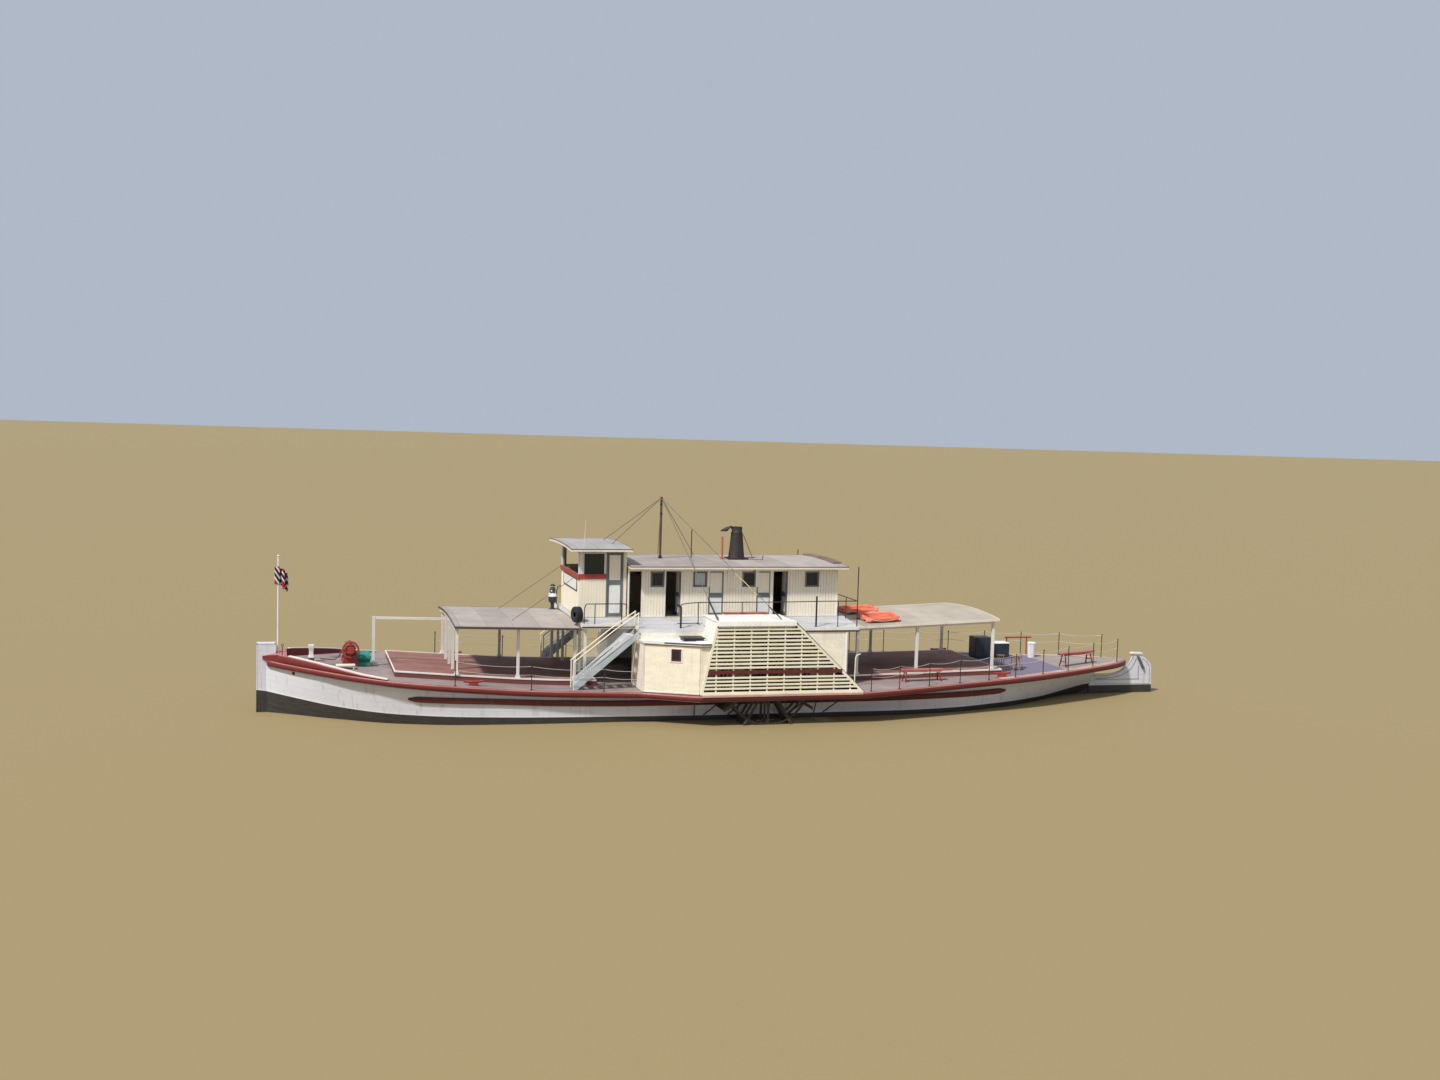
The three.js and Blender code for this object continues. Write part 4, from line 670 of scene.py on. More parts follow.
# Upper deck on its light frame: canvas-covered boards painted pale grey, with a white edge
# board over a dark line. It slopes down a little at the sides to shed rain.
canvas_grey = painted("upper_deck_canvas", "b3b3b6", "c6c5c6", bare="8d8b88", rough=0.7, wear=0.06,
                      streaks=0.1, seams=("Y", 0.6, 0.012), sides="dcdad6")
post_white = painted("post_white", "d5d3ce", "e6e4df", wear=0.08, streaks=0.15)
deck_line = painted("upper_deck_line", "3a2f2d", "4b3f3b", rough=0.6, wear=0.04)
dress("upper_deck", canvas_grey)
dress("upper_deck_frame", post_white)
FORE_RUN, AFT_RUN, ACROSS = (11.0, 12.88), (18.74, 21.11), (-3.58, 3.58)
edge_boards = [box((21.09, 21.125), ACROSS, (3.19, 3.32))]
edge_lines = [box((21.09, 21.13), ACROSS, (3.135, 3.189))]
for side in (-1, 1):
    edge_boards += [box(FORE_RUN, (2.895, 2.925), (3.30, 3.40), side),
                    box(FORE_RUN, (2.895, 2.92), (3.222, 3.255), side),
                    box(AFT_RUN, (3.575, 3.605), (3.19, 3.32), side)]
    edge_lines += [box(FORE_RUN, (2.895, 2.93), (3.256, 3.299), side),
                   box((18.80, 21.11), (3.575, 3.61), (3.135, 3.189), side)]
piece("upper_deck_edges", edge_boards, nosing_white, "white", bevel=0.006)
piece("upper_deck_edge_lines", edge_lines, deck_line, "black_steel")

# Side houses under the upper deck, with the low wing rooms angled along the guards: smooth
# sheeted walls in cream, white corner boards, a lapped roof edge, and a small sashed window.
house_cream = painted("house_cream", "d6dae6", "e4e7f0", rough=0.6, streaks=0.12, sides="f0e7d2",
                      depth=0.002)
lead_grey = painted("roof_edge_dark", "46382f", "594b40", rough=0.6, wear=0.04)
# Window glass has a near-black blue base colour: painted shade of the dark rooms behind it; its low
# roughness gives real reflections.
glass_painted_shade, glass_tree, glass_shader = surface("window_glass_painted_shade")
interior_shade_tone = over(glass_tree, cloud(glass_tree, (1.5, 1.5, 1.5)), srgb("11161d"), srgb("26303a"))
wire_up(glass_tree, glass_shader, interior_shade_tone,
        between(glass_tree, cloud(glass_tree, (4.0,) * 3), 0.3, 0.7, 0.05, 0.12),
        cloud(glass_tree, (1.5,) * 3), 0.001)
for port, side in SIDES:
    dress("side_house_" + port, house_cream)
WING_FORE, WING_AFT, WING_END = 12.97, 14.79, 15.17


def wing_wall(distance):
    """Outer face of the angled wing wall"""
    return 4.0 + (distance - WING_FORE) / (WING_AFT - WING_FORE) * 0.88


def on_wing(marks, u0, u1, low, high, side):
    """A board on the wing wall, between two steps out from its face"""
    return strip([[(aft(d), side * (wing_wall(min(d, 14.8)) + u), z) for u, z in quad(u0, u1, low, high)]
                  for d in marks])


def rim(x0, x1, z0, z1, wide, high):
    """Four boards just inside an outline: two level ones right across and two uprights between them"""
    return [(x0, x1, z1 - high, z1), (x0, x1, z0, z0 + high), (x0, x0 + wide, z0 + high, z1 - high),
            (x1 - wide, x1, z0 + high, z1 - high)]


whites, darks, reds, panes, roof_ends, end_walls = [], [], [], [], [], []
for side in (-1, 1):
    for low, high, out, store in ((2.945, 2.958, 0.08, whites), (2.892, 2.944, 0.078, darks),
                                  (2.862, 2.891, 0.074, whites), (2.828, 2.852, 0.012, darks)):
        marks = (12.90 if out > 0.05 else 13.0, 14.80, WING_END)
        store.append(on_wing(marks, out - 0.025, out, low, high, side))
    roof_ends.append(box((14.795, WING_END), (3.60, 4.945), (2.925, 2.957), side))
    outline = [(14.795, 1.19), (14.83, 1.19), (WING_END, 2.80), (WING_END, 2.862), (14.795, 2.862)]
    end_walls.append(plate(outline, (4.84, 4.868), side))
    whites.append(box((12.955, 13.02), (3.94, 4.035), (1.18, 2.885), side))
    whites.append(on_wing((WING_FORE, WING_AFT), 0.001, 0.015, 1.155, 1.20, side))
    for d0, d1, z0, z1 in rim(13.83, 14.23, 2.24, 2.75, 0.04, 0.04):
        whites.append(on_wing((d0, d1), -0.01, 0.02, z0, z1, side))
    for d0, d1, z0, z1 in rim(13.87, 14.19, 2.28, 2.71, 0.05, 0.055):
        reds.append(on_wing((d0, d1), -0.04, -0.012, z0, z1, side))
    panes.append(on_wing((13.91, 14.15), -0.032, -0.026, 2.33, 2.66, side))
piece("wing_room_roof_ends", roof_ends, house_cream, "cream")
piece("wing_room_end_walls", end_walls, house_cream, "cream")
piece("wing_room_trim", whites, nosing_white, "white", bevel=0.003)
piece("wing_room_roof_line", darks, lead_grey, "black_steel")
piece("wing_room_sashes", reds, wale_red, "red_trim", bevel=0.003)
piece("wing_room_panes", panes, glass_painted_shade, "black_steel")
piece("wing_roof_hatch", [box((14.36, 15.08), (-4.25, -3.72), (2.938, 3.03)),
                          box((14.32, 15.12), (-4.29, -3.68), (3.03, 3.06))],
      iron_black, "black_steel", bevel=0.008)

# Paddle boxes: white sheeted roofs and ends over the wheels, with painted shade on their inner faces. The
# outer face is open slatting: thin cream boards on battens, with broad boards and a dark red band
# below, and a pale cap on the guard under it.
box_white = painted("paddle_box_white", "dcdad2", "eceae2", rough=0.6)
slat_cream = painted("slat_cream", "efe7ca", "f6f0da", bare="b3a884", rough=0.65, wear=0.1, streaks=0.1)
box_shaded_inside = painted("paddle_box_shaded_inside", "dcdad2", "eceae2", rough=0.6)
# Faces that look into the box are painted a near-black brown: painted shade inside the box, which also shows
# dark through the slat gaps.
tree = box_shaded_inside.node_tree
spot, facing = xyz(tree), true_normal(tree)
hand = count(tree, "SIGN", spot["Y"])
inside_shade_mask = count(tree, "MULTIPLY", count(tree, "SUBTRACT", 0.2, spot["X"]), facing["X"])
for axis, middle, sign in (("Y", 4.2, hand), ("Z", 1.6, 1.0)):
    step = count(tree, "SUBTRACT", count(tree, "MULTIPLY", middle, sign), spot[axis])
    inside_shade_mask = count(tree, "ADD", inside_shade_mask, count(tree, "MULTIPLY", step, facing[axis]))
overlay(box_shaded_inside, between(tree, inside_shade_mask, 0.0, 0.01), "2a231d")
for port, side in SIDES:
    dress("paddle_box_" + port, box_shaded_inside)
FACE_Y, FACE_FOOT, FACE_RISE = 4.94, 1.15, 2.55
FORE_LOW, FORE_HIGH = 14.82, 15.36
AFT_LOW, AFT_HIGH = 20.86, 18.20
FORE_LEAN, AFT_LEAN = (FORE_HIGH - FORE_LOW) / FACE_RISE, (AFT_HIGH - AFT_LOW) / FACE_RISE
SLATS = [("slats_upper", 11, 2.095, 0.1344, 0.070, 0.020), ("slats_lower", 4, 1.360, 0.127, 0.066, 0.020),
         ("boards_low", 1, 1.202, 0.1, 0.096, 0.030), ("band", 1, 1.935, 0.1, 0.126, 0.034)]


def open_tree(name, inputs, output):
    """A new geometry tree with its named inputs, and the sockets that carry them"""
    tree = bpy.data.node_groups.new(name, "GeometryNodeTree")
    for socket, kind in inputs:
        tree.interface.new_socket(socket, in_out="INPUT", socket_type="NodeSocket" + kind)
    tree.interface.new_socket(output, in_out="OUTPUT", socket_type="NodeSocketGeometry")
    return tree, make(tree, "NodeGroupInput").outputs


def close_tree(tree, points, size, turn, finish, output):
    """Lays a unit board of a size and a turn on every point, as real mesh with its finish"""
    board = make(tree, "GeometryNodeMeshCube").outputs["Mesh"]
    sockets = {"Points": points, "Instance": board, "Scale": size}
    if turn:
        sockets["Rotation"] = turn
    laid = make(tree, "GeometryNodeInstanceOnPoints", sockets).outputs[0]
    real = make(tree, "GeometryNodeRealizeInstances", {0: laid}).outputs[0]
    done = make(tree, "GeometryNodeSetMaterial", {"Geometry": real, "Material": finish}).outputs[0]
    make(tree, "NodeGroupOutput", {output: done})


def slat_tree():
    """A column of level boards whose ends keep to two leaning lines"""
    names = ("First", "Pitch", "Depth", "Thickness", "Outboard", "Fore Foot", "Fore Lean", "Aft Foot",
             "Aft Lean", "Foot Height")
    tree, given = open_tree("paddle_box_slats", [("Rows", "Int"), *((name, "Float") for name in names),
                                                 ("Finish", "Material")], "Slats")
    start = make(tree, "ShaderNodeCombineXYZ", {2: given["First"]}).outputs[0]
    step = make(tree, "ShaderNodeCombineXYZ", {2: given["Pitch"]}).outputs[0]
    line = make(tree, "GeometryNodeMeshLine",
                {"Count": given["Rows"], "Start Location": start, "Offset": step}).outputs["Mesh"]
    height = xyz(tree, make(tree, "GeometryNodeInputPosition").outputs[0])["Z"]
    rise = count(tree, "SUBTRACT", height, given["Foot Height"])
    fore, back = (count(tree, "ADD", given[end + " Foot"],
                        count(tree, "MULTIPLY", rise, given[end + " Lean"]))
                  for end in ("Fore", "Aft"))
    middle = count(tree, "MULTIPLY", count(tree, "ADD", fore, back), 0.5)
    spot = make(tree, "ShaderNodeCombineXYZ", {0: middle, 1: given["Outboard"], 2: height}).outputs[0]
    size = make(tree, "ShaderNodeCombineXYZ",
                {0: count(tree, "SUBTRACT", back, fore), 1: given["Thickness"],
                 2: given["Depth"]}).outputs[0]
    kept = make(tree, "GeometryNodeCaptureAttribute", {"Geometry": line})
    kept.capture_items.new("VECTOR", "size")
    tree.links.new(size, kept.inputs[1])
    moved = make(tree, "GeometryNodeSetPosition",
                 {"Geometry": kept.outputs["Geometry"], "Position": spot}).outputs[0]
    close_tree(tree, moved, kept.outputs[1], None, given["Finish"], "Slats")
    return tree


def grow(name, tree, values, mesh=None):
    """Runs a tree once and keeps its result as a plain mesh"""
    source = mesh or bpy.data.meshes.new(name + "_points")
    thing = bpy.data.objects.new(name, source)
    scene.collection.objects.link(thing)
    modifier = thing.modifiers.new("grown", "NODES")
    modifier.node_group = tree
    for item in tree.interface.items_tree:
        if item.in_out == "INPUT" and item.name in values:
            modifier[item.identifier] = values[item.name]
    bpy.context.view_layer.update()
    built = bpy.data.meshes.new_from_object(thing.evaluated_get(bpy.context.evaluated_depsgraph_get()))
    thing.modifiers.remove(modifier)
    thing.data = built
    bpy.data.meshes.remove(source)
    built.name = name
    return thing


slats_on_battens = slat_tree()
for port, side in SIDES:
    for part, rows, first, pitch, depth, thick in SLATS:
        red = part == "band"
        thing = grow(f"paddle_{part}_{port}", slats_on_battens, {
            "Rows": rows, "First": first, "Pitch": pitch, "Depth": depth, "Thickness": thick,
            "Outboard": side * (FACE_Y - 0.014), "Fore Foot": aft(FORE_LOW) + 0.09, "Fore Lean": FORE_LEAN,
            "Aft Foot": aft(AFT_LOW) - 0.03, "Aft Lean": AFT_LEAN, "Foot Height": FACE_FOOT,
            "Finish": wale_red if red else slat_cream,
        })
        settle(thing, "red_trim" if red else "slat_yellow", bevel=0.004)
        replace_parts(thing, "paddle_face_" + port)
    battens = [box((FORE_HIGH, AFT_HIGH), (4.88, 4.938), (3.505, 3.565), side)]
    for k in range(9):
        d = 15.355 + 0.62 * k
        top = min(3.68, FACE_FOOT + (d + 0.06 - AFT_LOW) / AFT_LEAN if d > 18.1 else 3.68)
        if top > 1.3:
            battens.append(box((d, d + 0.05), (4.862, 4.913), (FACE_FOOT, top), side))
    for foot, head, wide in ((FORE_LOW, FORE_HIGH, 0.095), (AFT_LOW, AFT_HIGH, -0.11)):
        outline = [(foot, FACE_FOOT), (foot + wide, FACE_FOOT), (head + wide, 3.69), (head, 3.69)]
        battens.append(plate(outline, (4.88, 4.938), side))
    piece("paddle_face_battens_" + port, battens, slat_cream, "slat_yellow", bevel=0.004)
    cap = [(4.945, 1.152), (5.034, 1.142), (5.034, 1.085), (5.044, 1.085), (5.044, 1.152), (4.945, 1.164)]
    head = [(4.60, 3.700), (4.925, 3.700), (4.965, 3.560), (4.985, 3.560), (4.945, 3.722), (4.60, 3.735)]
    cap, head = (strip([[(aft(d), side * y, z) for y, z in section] for d in ends])
                 for section, ends in ((cap, (14.86, 20.80)), (head, (15.33, 18.25))))
    piece("paddle_guard_cap_" + port, [cap], covering_tan, "cream")
    edges = [head, box((15.33, 18.23), (2.98, 4.89), (3.695, 3.712), side),
             plate([(18.2, 3.712), (18.24, 3.712), (20.9, 1.16), (20.86, 1.15)], (3.59, 4.88), side)]
    piece("paddle_box_edges_" + port, edges, box_white, "white", bevel=0.005)
    line = plate([(18.235, 3.69), (18.26, 3.69), (20.92, 1.15), (20.895, 1.15)], (4.845, 4.885), side)
    piece("paddle_box_rear_line_" + port, [line], lead_grey, "black_steel")
    piece("side_house_corner_" + port, [post(20.65, 3.56, 1.16, 3.13, 0.045, 12, side)], nosing_white,
          "white", smooth=60)

# Upper cabin: narrow tongued boards nailed upright to a light frame and painted cream, with
# grey-blue joinery. Its doors hang on pins; some are hooked back, open.
BOARD = 0.11
CABIN = (12.82, 20.81, 1.90)
CABIN_TOP = 5.308
CABIN_WINDOWS = [(13.71, 14.13), (15.30, 15.73), (17.16, 17.59), (19.59, 20.04)]
WINDOW_Z = (4.63, 5.11)
CABIN_DOORS = {
    "port": [(12.88, 13.33, 1, True), (14.23, 14.80, -1, True), (15.84, 16.40, 1, False),
             (17.67, 18.21, 1, False), (18.31, 18.87, -1, True)],
    "starboard": [(14.23, 14.80, -1, False), (18.31, 18.87, -1, False)],
}
DOOR_Z = (3.52, 5.16)
BOARD_FOOT, LINING = 3.50, 0.05
board_cream = painted("board_cream", "ebe1ca", "f2ead7", rough=0.6, streaks=0.18, depth=0.002)
# The wall behind the upright boards is a dull tan, darker than the boards: painted shade in the gaps between
# them.
wall_seam_shade_tan = painted("wall_seam_shade_tan", "a8977a", "b5a58a", rough=0.65, wear=0.04)
joinery_blue = painted("joinery_blue", "5c646a", "70787e", bare="aab0b2", wear=0.06)
joinery_white = painted("joinery_white", "dcdcd8", "ebebe6")
frame_cream = painted("door_frame_cream", "e9e1d2", "f2ecdf")
joinery_pale = painted("joinery_pale_blue", "c3ccd8", "d6dce4")
# One cabin window gets a pale grey sheet in place of the dark glass.
pale_pane_grey = painted("pale_grey_pane", "aeb1b4", "c2c4c5", rough=0.4, wear=0.04, streaks=0.3)


def board_tree():
    """Lays a board of its own size, turned as it says, on every point"""
    tree, given = open_tree("boards_on_points", [("Points", "Geometry"), ("Gap", "Vector"),
                                                 ("Finish", "Material")],
                            "Boards")
    stored = []
    for name in ("size", "turn"):
        read_it = make(tree, "GeometryNodeInputNamedAttribute", {"Name": name}, data_type="FLOAT_VECTOR")
        stored.append(next(o for o in read_it.outputs if o.enabled and o.name == "Attribute"))
    size = make(tree, "ShaderNodeVectorMath", {0: stored[0], 1: given["Gap"]},
                operation="SUBTRACT").outputs[0]
    close_tree(tree, given["Points"], size, stored[1], given["Finish"], "Boards")
    return tree


boards_on_points = board_tree()


def lay(name, boxes, finish, slot, body="boat", gap=(0.0, 0.0, 0.0), bevel=0.0):
    """Boards, each a centre and a size, and a turn where it leans"""
    mesh = bpy.data.meshes.new(name + "_points")
    mesh.from_pydata([board[0] for board in boxes], [], [])
    sizes = mesh.attributes.new("size", "FLOAT_VECTOR", "POINT")
    turns = mesh.attributes.new("turn", "FLOAT_VECTOR", "POINT")
    for i, board in enumerate(boxes):
        sizes.data[i].vector = board[1]
        turns.data[i].vector = board[2] if len(board) > 2 else (0, 0, 0)
    thing = grow(name, boards_on_points, {"Gap": gap, "Finish": finish}, mesh)
    return settle(thing, slot, body, bevel)


def upright_boards(start, end, high, holes=()):
    """Board columns from start to end, cut round holes of from, to, low, high"""
    found = []
    size = round((end - start) / BOARD)
    pitch = (end - start) / size
    for k in range(size):
        x0, x1 = start + k * pitch, start + (k + 1) * pitch
        spans = [(BOARD_FOOT, high(0.5 * (x0 + x1)))]
        for h0, h1, z0, z1 in holes:
            if x1 <= h0 + 0.001 or x0 >= h1 - 0.001:
                continue
            if x0 < h0 or x1 > h1:
                a, b = (x0, h0) if x0 < h0 else (h1, x1)
                if b - a > 0.015:
                    found.append((a, b, max(z0, BOARD_FOOT), min(z1, spans[0][1])))
            spans = [cut for a, b in spans for cut in ((a, min(b, z0)), (max(a, z1), b)) if cut[1] > cut[0]]
        found += [(x0, x1, a, b) for a, b in spans if b - a > 0.01]
    return found


def frame_round(x0, x1, z0, z1, wide, sill=True):
    """Four boards round an opening, as x and z pairs; a doorway has no sill"""
    low = z0 - wide if sill else z0
    boards = [(x0 - wide, x0, low, z1 + wide), (x1, x1 + wide, low, z1 + wide), (x0, x1, z1, z1 + wide)]
    return boards + ([(x0, x1, z0 - wide, z0)] if sill else [])


def on_side(boards, side, inner, outer):
    """x and z pairs of boards made boxes on a side wall, between two distances off the centre"""
    return [((aft((a + b) / 2), side * (inner + outer) / 2, (c + d) / 2), (b - a, outer - inner, d - c))
            for a, b, c, d in boards]


def on_end(boards, x):
    """y and z pairs of boards made boxes on an end wall"""
    return [((x, (a + b) / 2, (c + d) / 2), (0.013, b - a, d - c)) for a, b, c, d in boards]


def leaf(name, side, start, end, along, opened, high_z, wall_y):
    """A panelled door leaf about its hinge, in its place at rest, on its own body"""
    gap, thick, rail, lock = 0.006, 0.042, 0.045, 0.17
    wide = end - start - 2 * gap
    hinge = aft(start + gap if along > 0 else end - gap)
    face = side * (wall_y - 0.06) if opened else side * wall_y
    low, high = DOOR_Z[0] + gap, high_z - gap

    def spread(u, v, height):
        """A box of the leaf: along it, through it, and up"""
        x, y = (v, u) if opened else (u, v)
        return block([hinge + along * a for a in x], [face - side * a for a in y], height)

    mid = low + (1.13 if high > 5.5 else 0.67)
    across, through = (rail, wide - rail), (0, thick)
    boxes = [spread(u, through, z) for u, z in (
        ((0, rail), (low, high)), ((wide - rail, wide), (low, high)), (across, (high - rail, high)),
        (across, (low, low + 0.11)), (across, (mid, mid + lock)))]
    boxes.append(tube([(hinge, face, DOOR_Z[0] + 0.001), (hinge, face, high_z - 0.001)], 0.005))
    knob = wide - rail / 2
    for v in ((-0.028, 0.0), (thick, thick + 0.028)):
        boxes.append(spread((knob - 0.018, knob + 0.018), v, (mid + 0.03, mid + 0.066)))
    first = piece(name + "_frame", boxes, joinery_blue, "grey_steel", body=name, bevel=0.003)
    for part, z, finish, slot in (("upper", (mid + lock, high - rail), board_cream, "cream"),
                                  ("lower", (low + 0.11, mid), joinery_white, "white")):
        piece(f"{name}_{part}_panel", [spread(across, (0.010, thick - 0.010), z)], finish, slot, body=name)
    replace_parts(first, name)


def window_frames(inset, wide):
    """Boards round every cabin window, set in from its opening"""
    return [board for a, b in CABIN_WINDOWS
            for board in frame_round(a + inset, b - inset, WINDOW_Z[0] + inset, WINDOW_Z[1] - inset, wide)]


for port, side in SIDES:
    dress("cabin_side_" + port, wall_seam_shade_tan)
    doors = CABIN_DOORS[port]
    holes = [(a - LINING, b + LINING, WINDOW_Z[0] - LINING, WINDOW_Z[1] + LINING) for a, b in CABIN_WINDOWS]
    holes += [(a - LINING, b + LINING, 3.0, DOOR_Z[1] + LINING) for a, b, _, _ in doors]
    columns = upright_boards(CABIN[0], CABIN[1], lambda d: CABIN_TOP, holes)
    lay("cabin_boards_" + port, on_side(columns, side, 1.899, 1.912), board_cream, "cream",
        gap=(0.010, 0.0, 0.0), bevel=0.002)
    panes = [(a + 0.015, b - 0.015, WINDOW_Z[0] + 0.015, WINDOW_Z[1] - 0.015) for a, b in CABIN_WINDOWS]
    jambs = [board for a, b, _, _ in doors
             for board in frame_round(a, b, BOARD_FOOT, DOOR_Z[1], LINING, sill=False)]
    skirts, cursor = [], CABIN[0]
    for a, b, _, _ in sorted(doors) + [(CABIN[1] + LINING, 0, 0, 0)]:
        skirts.append((cursor, a - LINING, 3.488, 3.54))
        cursor = b + LINING
    for name, boards, inner, outer, finish, slot, bevel in (
        ("cabin_window_architraves_", window_frames(0.0, 0.035), 1.895, 1.922, joinery_blue, "grey_steel",
         0.003),
        ("cabin_sashes_", window_frames(0.02, 0.02), 1.862, 1.896, joinery_blue, "grey_steel", 0.003),
        ("cabin_panes_", panes[:1] + panes[2:], 1.874, 1.880, glass_painted_shade, "black_steel", 0.0),
        ("cabin_pale_pane_", panes[1:2], 1.874, 1.880, pale_pane_grey, "grey_steel", 0.0),
        ("cabin_door_architraves_", jambs, 1.899, 1.918, frame_cream, "cream", 0.003),
        ("cabin_skirting_", [s for s in skirts if s[1] - s[0] > 0.02], 1.91, 1.93, joinery_white, "white",
         0.003),
    ):
        lay(name + port, on_side(boards, side, inner, outer), finish, slot, bevel=bevel)
    for number, (a, b, along, opened) in enumerate(doors):
        leaf(f"cabin_door_{port}_{number + 1}", side, a, b, along, opened, DOOR_Z[1], CABIN[2])
dress("cabin_end_aft", wall_seam_shade_tan)
end_boards = upright_boards(-1.84, 1.84, lambda y: 5.362 - 0.08 * (y / 2.36) ** 2)
lay("cabin_end_boards", on_end(end_boards, aft(20.817)), board_cream, "cream", gap=(0.0, 0.006, 0.0),
    bevel=0.002)
corners = [box((20.80, 20.835), (1.85, 1.925), (3.485, 5.308), side) for side in (-1, 1)]
piece("cabin_corner_boards", corners, joinery_white, "white", bevel=0.004)

# Wheelhouse: the same tongued boards below a red sill, open framed windows above, a blue-framed
# door at each side, and a bare white board in a black frame on the front.
HELM = (11.08, 12.80, 1.80)
HELM_SILL, HELM_SIDE_SILL, HELM_HEAD, HELM_TOP = 5.00, 5.04, 5.78, 5.922
HELM_WINDOW, HELM_DOOR = (11.24, 11.97), (12.11, 12.62)
sill_red = painted("sill_red", "933029", "a64740", wear=0.06)
PORT_PANE = ("wheelhouse_pane", [(*HELM_WINDOW, HELM_SIDE_SILL, HELM_HEAD)], 1.765, 1.772, glass_painted_shade,
             "black_steel", 0.0)
for name in ("front", "back", "side_port", "side_starboard"):
    dress("wheelhouse_" + name, wall_seam_shade_tan)
for port, side in SIDES:
    holes = [(HELM_WINDOW[0] - LINING, HELM_WINDOW[1] + LINING, HELM_SIDE_SILL - 0.10, HELM_HEAD + LINING),
             (HELM_DOOR[0] - LINING, HELM_DOOR[1] + LINING, 3.0, HELM_HEAD + LINING)]
    columns = upright_boards(HELM[0], HELM[1], lambda d: HELM_TOP, holes)
    lay("wheelhouse_boards_" + port, on_side(columns, side, 1.799, 1.812), board_cream, "cream",
        gap=(0.006, 0.0, 0.0), bevel=0.002)
    posts = frame_round(*HELM_WINDOW, HELM_SIDE_SILL, HELM_HEAD, LINING)[:3]
    jambs = frame_round(*HELM_DOOR, BOARD_FOOT, HELM_HEAD, LINING, sill=False)
    for name, boards, inner, outer, finish, slot, bevel in (
        ("wheelhouse_sill_" + port, [(HELM[0] - 0.03, 12.04, 4.87, 5.055)], 1.80, 1.84, sill_red,
         "red_trim", 0.008),
        ("wheelhouse_window_frame_" + port, posts, 1.80, 1.824, joinery_pale, "grey_steel", 0.004),
        *([PORT_PANE] if port == "port" else []),
        ("wheelhouse_door_architrave_" + port, jambs, 1.80, 1.818, joinery_blue, "grey_steel", 0.003),
    ):
        lay(name, on_side(boards, side, inner, outer), finish, slot, bevel=bevel)
    leaf("wheelhouse_door_" + port, side, *HELM_DOOR, -1, False, HELM_HEAD, HELM[2])
front_x = aft(HELM[0])
front = upright_boards(-1.80, 1.80, lambda y: 5.965 - 0.07 * (y / 2.29) ** 2,
                       [(-1.64, 1.64, HELM_SILL - 0.15, HELM_HEAD + 0.03)])
lay("wheelhouse_front_boards", on_end(front, front_x - 0.006), board_cream, "cream", gap=(0.0, 0.006, 0.0),
    bevel=0.002)
sill = block((front_x - 0.055, front_x), (-1.84, 1.84), (HELM_SILL - 0.155, HELM_SILL + 0.03))
piece("wheelhouse_front_sill", [sill], sill_red, "red_trim", bevel=0.012)
mullions = [block((front_x - 0.022, front_x + 0.01), (side * 1.635, side * 1.825),
                  (HELM_SILL, HELM_HEAD + 0.04))
            for side in (-1, 1)]
mullions.append(block((front_x - 0.018, front_x), (-1.8, 1.8), (HELM_HEAD + 0.03, HELM_HEAD + 0.09)))
piece("wheelhouse_front_posts", mullions, joinery_pale, "white", bevel=0.005)
BARE_Y, BARE_Z, BARE_RIM = (-1.40, 1.18), (4.43, 4.80), 0.045
bare = block((front_x - 0.030, front_x - 0.012), BARE_Y, BARE_Z)
piece("bare_front_board", [bare], joinery_white, "white")
rim_boards = rim(BARE_Y[0] - BARE_RIM, BARE_Y[1] + BARE_RIM, BARE_Z[0] - BARE_RIM, BARE_Z[1] + BARE_RIM,
                 BARE_RIM, BARE_RIM)
framing = [block((front_x - 0.036, front_x - 0.012), (y0, y1), (z0, z1)) for y0, y1, z0, z1 in rim_boards]
piece("bare_front_board_frame", framing, iron_black, "black_steel", bevel=0.003)
helm_wood = painted("helm_wood", "6a432b", "7d5436", bare="9c7a56", rough=0.35, grain=3.0)
dress("steering_wheel", helm_wood)
dress("steering_stand", helm_wood)

# Cambered roofs over wheelhouse, cabin and canopies: thin boards under painted canvas, lapped at
# seams across the boat, with a brown edge and a narrow fascia along the eaves and ends.
canvas_taupe = painted("roof_canvas_taupe", "a0958f", "b0a6a0", bare="857b75", rough=0.8, wear=0.08,
                       streaks=0.1, seams=("X", 0.93, 0.012), seam_tone="80766f")
canvas_warm = painted("roof_canvas_warm", "a89e8f", "b6ac9e", bare="8c8275", rough=0.8, wear=0.08,
                      streaks=0.1, seams=("X", 1.2, 0.012), seam_tone="948b7e")
canvas_pale = painted("roof_canvas_pale", "9a9896", "adaba8", bare="75716d", rough=0.8, wear=0.06,
                      streaks=0.1, seams=("X", 0.76, 0.012), seam_tone="6e6a68")
fascia_cream = painted("fascia_cream", "dfd5c6", "eae2d5", rough=0.6)
edge_brown = painted("roof_edge_brown", "6c5a52", "7d6b62", rough=0.65)
edge_dark = painted("roof_edge_shadow", "3d312f", "4c3f3b", rough=0.65)
ROOFS = [
    ("cabin_roof", "cabin_roof", (12.83, 21.08), 2.36, (5.45, 5.45), (5.37, 5.37), 0.08, canvas_taupe, 0.93,
     edge_brown, fascia_cream),
    ("wheelhouse_roof", "wheelhouse_roof", (10.68, 12.90), 2.29, (6.06, 6.06), (5.99, 5.99), 0.085,
     canvas_pale, 0.76, edge_brown, fascia_cream),
    ("fore_canopy", "canopy_roof_fore", (6.58, 10.95), 2.82, (3.47, 3.37), (3.34, 3.24), 0.06,
     canvas_taupe, 1.09, edge_brown, edge_dark),
    ("aft_canopy", "canopy_roof_aft", (21.2, 27.18), 2.56, (3.28, 3.53), (3.15, 3.40), 0.06,
     canvas_warm, 1.2, fascia_cream, fascia_cream),
]


def between_ends(pair, share):
    """A value some share of the way from a pair's first to its last"""
    return pair[0] + share * (pair[1] - pair[0])


